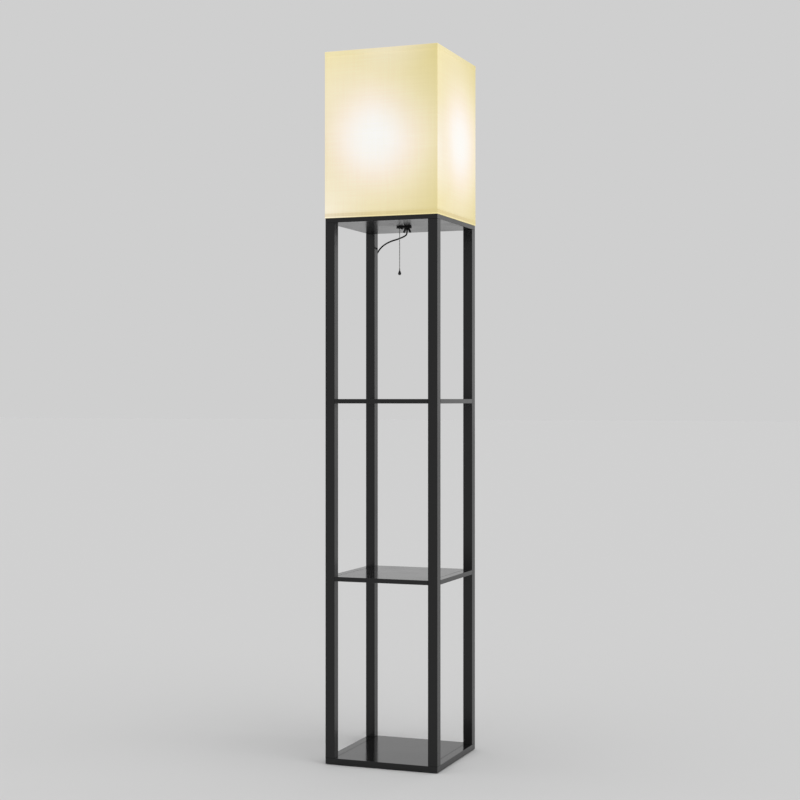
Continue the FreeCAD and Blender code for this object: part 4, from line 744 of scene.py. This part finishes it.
class LAMP_OT_cord(bpy.types.Operator):
    """Run the mains cord from the strain relief to its hank and plug"""

    bl_idname = "lamp.cord"
    bl_label = "Mains cord"

    def in_hank(self, out, side, z):
        """A point of the hank's own plane: out from the post, sideways, and up."""
        return Vector((POST_LINE[0] - out * math.sin(HANK_TURN) + side * math.cos(HANK_TURN),
                       POST_LINE[1] + out * math.cos(HANK_TURN) + side * math.sin(HANK_TURN),
                       z))

    def hank_points(self):
        """Corners of the folded loops, in on one layer and out on the next, and of the tail."""
        high = HANK_LOW + HANK_RUN
        near_far = [(0, 0), (0, 1), (1, 0), (1, 1), (2, 0)]
        runs = [((HANK_WIDTH if far else 0) + (-1 if far else 1) * step * HANK_STEP, 0.0, far)
                for step, far in near_far]
        runs += [(HANK_WIDTH - 2 * HANK_STEP, None, 1)]
        runs += [(out, -HANK_LAYER, far) for out, _, far in reversed(runs[:5])]
        eighth = math.tan(math.radians(22.5))
        bow_rise, waist_rise = 0.00708, 0.01992  # from a run's end to its bend and to its waist
        points = []
        for number, (out, side, far) in enumerate(runs):
            first, last, way = (HANK_LOW, high, 1) if far else (high, HANK_LOW, -1)
            drawn = out + (-HANK_WAIST if far else HANK_WAIST)
            sides = (side,) * 4
            if side is None:
                sides = (0.0, -0.3 * HANK_LAYER, -0.7 * HANK_LAYER, -HANK_LAYER)
            points += [self.in_hank(out, sides[0], first + way * bow_rise),
                       self.in_hank(drawn, sides[1], first + way * waist_rise),
                       self.in_hank(drawn, sides[2], last - way * waist_rise),
                       self.in_hank(out, sides[3], last - way * bow_rise)]
            if number + 1 < len(runs):
                after = runs[number + 1][0]
                radius = abs(after - out) / 2
                inset = radius * (1 - eighth) * (1 if after > out else -1)
                points += [self.in_hank(out, sides[3], last + way * radius * eighth),
                           self.in_hank(out + inset, sides[3], last + way * radius),
                           self.in_hank(after - inset, sides[3], last + way * radius),
                           self.in_hank(after, sides[3], last + way * radius * eighth)]
        bend = (HANK_WIDTH + HANK_STEP) / 2
        floor = HANK_LOW - bend
        tail = [(0.0, floor + bend * (1 - eighth)), (bend * (1 - eighth), floor),
                (0.034, floor), (0.048, PLUG_LEVEL), (PLUG_START, PLUG_LEVEL)]
        return points + [self.in_hank(out, -HANK_LAYER, z) for out, z in tail]

    def tie(self):
        """Paper-covered wire twisted round the hank's waist."""
        gap = 0.0018 + 0.00015  # half the cord, and clear of it
        near = HANK_WAIST - gap
        far = HANK_WIDTH - HANK_WAIST + gap
        height = 0.0058
        rows = 4
        level = HANK_LOW + HANK_RUN / 2
        bm = bmesh.new()
        outline = rounded_outline(bm, (far - near) / 2, gap + HANK_LAYER / 2, corner=0.0012,
                                  cuts=0)
        bmesh.ops.translate(bm, vec=(0, 0, -height / 2), verts=bm.verts[:])
        for _ in range(rows):
            outline = draw_out(bm, outline, height / rows)
        bmesh.ops.recalc_face_normals(bm, faces=bm.faces[:])
        end_width, end_length = 0.0026, 0.013
        end_place = ((far - near) / 2 + 0.0024, 0.0, -0.0060)  # beside the band and lower
        twist_rate = 500  # radians a metre
        twist = bmesh.ops.create_grid(bm, x_segments=1, y_segments=16, size=0.5)["verts"]
        bmesh.ops.scale(bm, vec=(end_width, end_length, 1.0), verts=twist)
        for vert in twist:
            turn = Matrix.Rotation(twist_rate * (vert.co.y + end_length / 2), 3, "Y")
            bmesh.ops.rotate(bm, cent=(0, 0, 0), matrix=turn, verts=[vert])
        bmesh.ops.rotate(bm, cent=(0, 0, 0), matrix=Matrix.Rotation(math.radians(65), 3, "X"),
                         verts=twist)
        bmesh.ops.translate(bm, vec=end_place, verts=twist)
        bmesh.ops.transform(bm, matrix=(
            Matrix.Translation(self.in_hank((near + far) / 2, -HANK_LAYER / 2, level))
            @ Matrix.Rotation(math.radians(90) + HANK_TURN, 4, "Z")), verts=bm.verts[:])
        paper = moulded_plastic("black_paper_twist_tie", rgba("1d1d1f"), rough_low=0.6,
                                rough_high=0.8, grain=1200.0)
        band = make_piece("hank_tie", bm, paper)
        add_modifier(band, "SOLIDIFY", thickness=0.0006, offset=1.0)
        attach(band, "root")
        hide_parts("cord_tie")
        return band

    def plug(self, rubber):
        """Moulded plug with finger ridges and a ribbed strain relief."""
        relief = 0.020  # length of the strain relief
        ribs = 7
        wider, narrower = 1.30, 0.90  # each rib against the one before it, by turns
        body_size = Vector((0.011, 0.022, 0.026))
        mouth = 0.72  # the body's width where the cord comes in, as a share of its full width
        full_from = 0.8  # where along the body it reaches its full width
        rows = 12  # steps along the body, whose every second one is a groove in the grip
        grip_from, grip_to, grip_width = 0.15, 0.70, 0.93
        bm = bmesh.new()
        bmesh.ops.create_circle(bm, cap_ends=False, segments=20, radius=0.0023)
        outline = bm.edges[:]
        for number in range(ribs):
            grow = narrower if number % 2 else wider
            outline = draw_out(bm, outline, relief / ribs * 0.25, grow)
            outline = draw_out(bm, outline, relief / ribs * 0.75)
        bmesh.ops.holes_fill(bm, edges=[edge for edge in bm.edges if edge.is_boundary], sides=0)
        body = bmesh.ops.create_cube(bm, size=1.0)["verts"]
        bmesh.ops.scale(bm, vec=body_size, verts=body)
        bmesh.ops.translate(bm, vec=(0, 0, relief + body_size.z / 2), verts=body)
        upright = [edge for edge in bm.edges
                   if abs(edge.verts[0].co.z - edge.verts[1].co.z) > body_size.z / 2]
        bmesh.ops.subdivide_edges(bm, edges=upright, cuts=rows - 1)
        # The body's vertices are the ones that lie outside every rib.
        block = [vert for vert in bm.verts if max(abs(vert.co.x), abs(vert.co.y)) > 0.005]
        for vert in block:
            along = (vert.co.z - relief) / body_size.z
            swell = math.sin(min(along, full_from) / full_from * math.pi / 2)
            share = mouth + (1 - mouth) * swell
            grooved = grip_from < along < grip_to and round(along * rows) % 2
            groove = grip_width if grooved else 1.0
            bmesh.ops.scale(bm, vec=(share * groove, share, 1.0), verts=[vert])
        corners = [edge for edge in bm.edges if len(edge.link_faces) == 2
                   and edge.verts[0] in block and edge.calc_face_angle(0) > 1.2]
        bmesh.ops.bevel(bm, geom=corners, offset=0.0024, affect="EDGES", segments=4,
                        profile=0.5, material=-1, clamp_overlap=True)
        bmesh.ops.recalc_face_normals(bm, faces=bm.faces[:])
        start = self.in_hank(PLUG_START, -HANK_LAYER, PLUG_LEVEL)
        place = (Matrix.Translation(start) @ Matrix.Rotation(HANK_TURN, 4, "Z")
                 @ Matrix.Rotation(math.radians(-90), 4, "X")
                 @ Matrix.Rotation(math.radians(90), 4, "Z"))
        bmesh.ops.transform(bm, matrix=place, verts=bm.verts[:])
        plug = make_piece("moulded_plug", bm, rubber)
        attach(plug, "root")
        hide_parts("plug_body")
        return plug

    def execute(self, context):
        sizes = context.scene.lamp_sizes
        points = [Vector(point) / 1000 for point in CORD_ROUTE] + self.hank_points()
        line = bpy.data.curves.new("mains_cord", "CURVE")
        line.dimensions = "3D"
        line.resolution_u = 8
        line.bevel_depth = sizes.cord_diameter / 2
        line.bevel_resolution = 4
        line.use_fill_caps = True
        spline = line.splines.new("NURBS")
        spline.points.add(len(points) - 1)
        for spot, point in zip(spline.points, points):
            spot.co = (*point, 1.0)
        spline.order_u = 3
        spline.use_endpoint_u = True
        pvc = moulded_plastic("black_pvc_cord", rgba("040405"), rough_low=0.5, rough_high=0.65,
                              grain=1500.0, gloss=0.05)
        line.materials.append(pvc)
        cord = bpy.data.objects.new("mains_cord", line)
        context.scene.collection.objects.link(cord)
        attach(cord, "root")
        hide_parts("cord", "cord_hank")
        tie = self.tie()
        plug = self.plug(pvc)
        nickel = plated_metal("nickel_plated_blades", rgba("cfcbc1"), rgba("98958c"),
                              roughness=0.2)
        finish_nodes(nickel, ["plug_blades"])
        return {"FINISHED"}


class LAMP_OT_stage(bpy.types.Operator):
    """Set the pale floor, the soft studio light and the camera"""

    bl_idname = "lamp.stage"
    bl_label = "Stage"

    def floor(self, colours):
        """Matt pale floor that keeps the lamp's soft shadow."""
        # Plain painted studio floor: no gloss, so it gives one even grey.
        material, tree = new_material("matt_studio_floor")
        surface = add(tree, "BsdfDiffuse", {"Color": colours.floor})
        add(tree, "OutputMaterial", {"Surface": surface})
        bm = bmesh.new()
        bmesh.ops.create_grid(bm, x_segments=1, y_segments=1, size=60.0)
        mesh = bpy.data.meshes.new("studio_floor")
        bm.to_mesh(mesh)
        bm.free()
        mesh.materials.append(material)
        floor = bpy.data.objects.new("studio_floor", mesh)
        bpy.context.scene.collection.objects.link(floor)

    def room(self, colours):
        """Even grey light from all round, which is also the picture's background."""
        world = bpy.data.worlds.new("studio_room")
        world.use_nodes = True
        tree = world.node_tree
        tree.nodes.clear()
        glow = add(tree, "Background", {"Color": colours.floor, "Strength": 1.0})
        add(tree, "OutputWorld", {"Surface": glow})
        bpy.context.scene.world = world

    def lamp(self, name, energy, spread, azimuth, elevation, mirrored=False):
        """Broad light from far off, kept out of reflections unless it is to be mirrored."""
        light = bpy.data.lights.new(name, "SUN")
        light.energy = energy
        light.angle = math.radians(spread)
        lamp = bpy.data.objects.new(name, light)
        bpy.context.scene.collection.objects.link(lamp)
        lamp.rotation_euler = (math.radians(90 - elevation), 0, math.radians(azimuth))
        lamp.visible_glossy = mirrored

    def camera(self):
        """Level camera that looks along the photograph's direction."""
        data = bpy.data.cameras.new("studio_camera")
        data.sensor_width = 36.0
        data.lens = 72.85
        camera = bpy.data.objects.new("studio_camera", data)
        bpy.context.scene.collection.objects.link(camera)
        camera.location = (1.3087, -3.4803, 0.8193)
        camera.rotation_euler = (math.radians(90), 0, math.radians(20.67))
        bpy.context.scene.camera = camera

    def execute(self, context):
        colours = context.scene.lamp_colours
        self.floor(colours)
        self.room(colours)
        self.lamp("key_light", 0.64, spread=50, azimuth=75, elevation=50)
        self.lamp("fill_light", 0.25, spread=70, azimuth=-15, elevation=60)
        self.lamp("overhead_light", 0.49, spread=90, azimuth=0, elevation=90)
        self.lamp("rim_light", 0.18, spread=60, azimuth=145, elevation=5, mirrored=True)
        self.camera()
        context.scene.view_settings.view_transform = "Standard"
        return {"FINISHED"}


class LAMP_PT_panel(bpy.types.Panel):
    """Builds the lamp's pieces and sets their sizes and colours"""

    bl_idname = "LAMP_PT_panel"
    bl_label = "Shelf floor lamp"
    bl_space_type = "VIEW_3D"
    bl_region_type = "UI"
    bl_category = "Lamp"

    def draw(self, context):
        for step in STEPS:
            self.layout.operator(step.bl_idname)
        for group in (context.scene.lamp_sizes, context.scene.lamp_colours):
            box = self.layout.box()
            for name in group.bl_rna.properties.keys():
                if name not in ("rna_type", "name"):
                    box.prop(group, name)


STEPS = (
    LAMP_OT_stage,
    LAMP_OT_cord,
    LAMP_OT_lacquered_frame,
    LAMP_OT_felt_pads,
    LAMP_OT_shade,
    LAMP_OT_hub,
    LAMP_OT_lampholder,
    LAMP_OT_bulb,
)


def register():
    for kind in (LampSizes, LampColours, *STEPS, LAMP_PT_panel):
        bpy.utils.register_class(kind)
    bpy.types.Scene.lamp_sizes = bpy.props.PointerProperty(type=LampSizes)
    bpy.types.Scene.lamp_colours = bpy.props.PointerProperty(type=LampColours)


def unregister():
    del bpy.types.Scene.lamp_colours
    del bpy.types.Scene.lamp_sizes
    for kind in (LAMP_PT_panel, *reversed(STEPS), LampColours, LampSizes):
        bpy.utils.unregister_class(kind)


def main():
    register()
    bpy.ops.lamp.stage()
    bpy.ops.lamp.cord()
    bpy.ops.lamp.lacquered_frame()
    bpy.ops.lamp.felt_pads()
    bpy.ops.lamp.shade()
    bpy.ops.lamp.hub()
    bpy.ops.lamp.lampholder()
    bpy.ops.lamp.bulb()


if __name__ == "__main__":
    main()
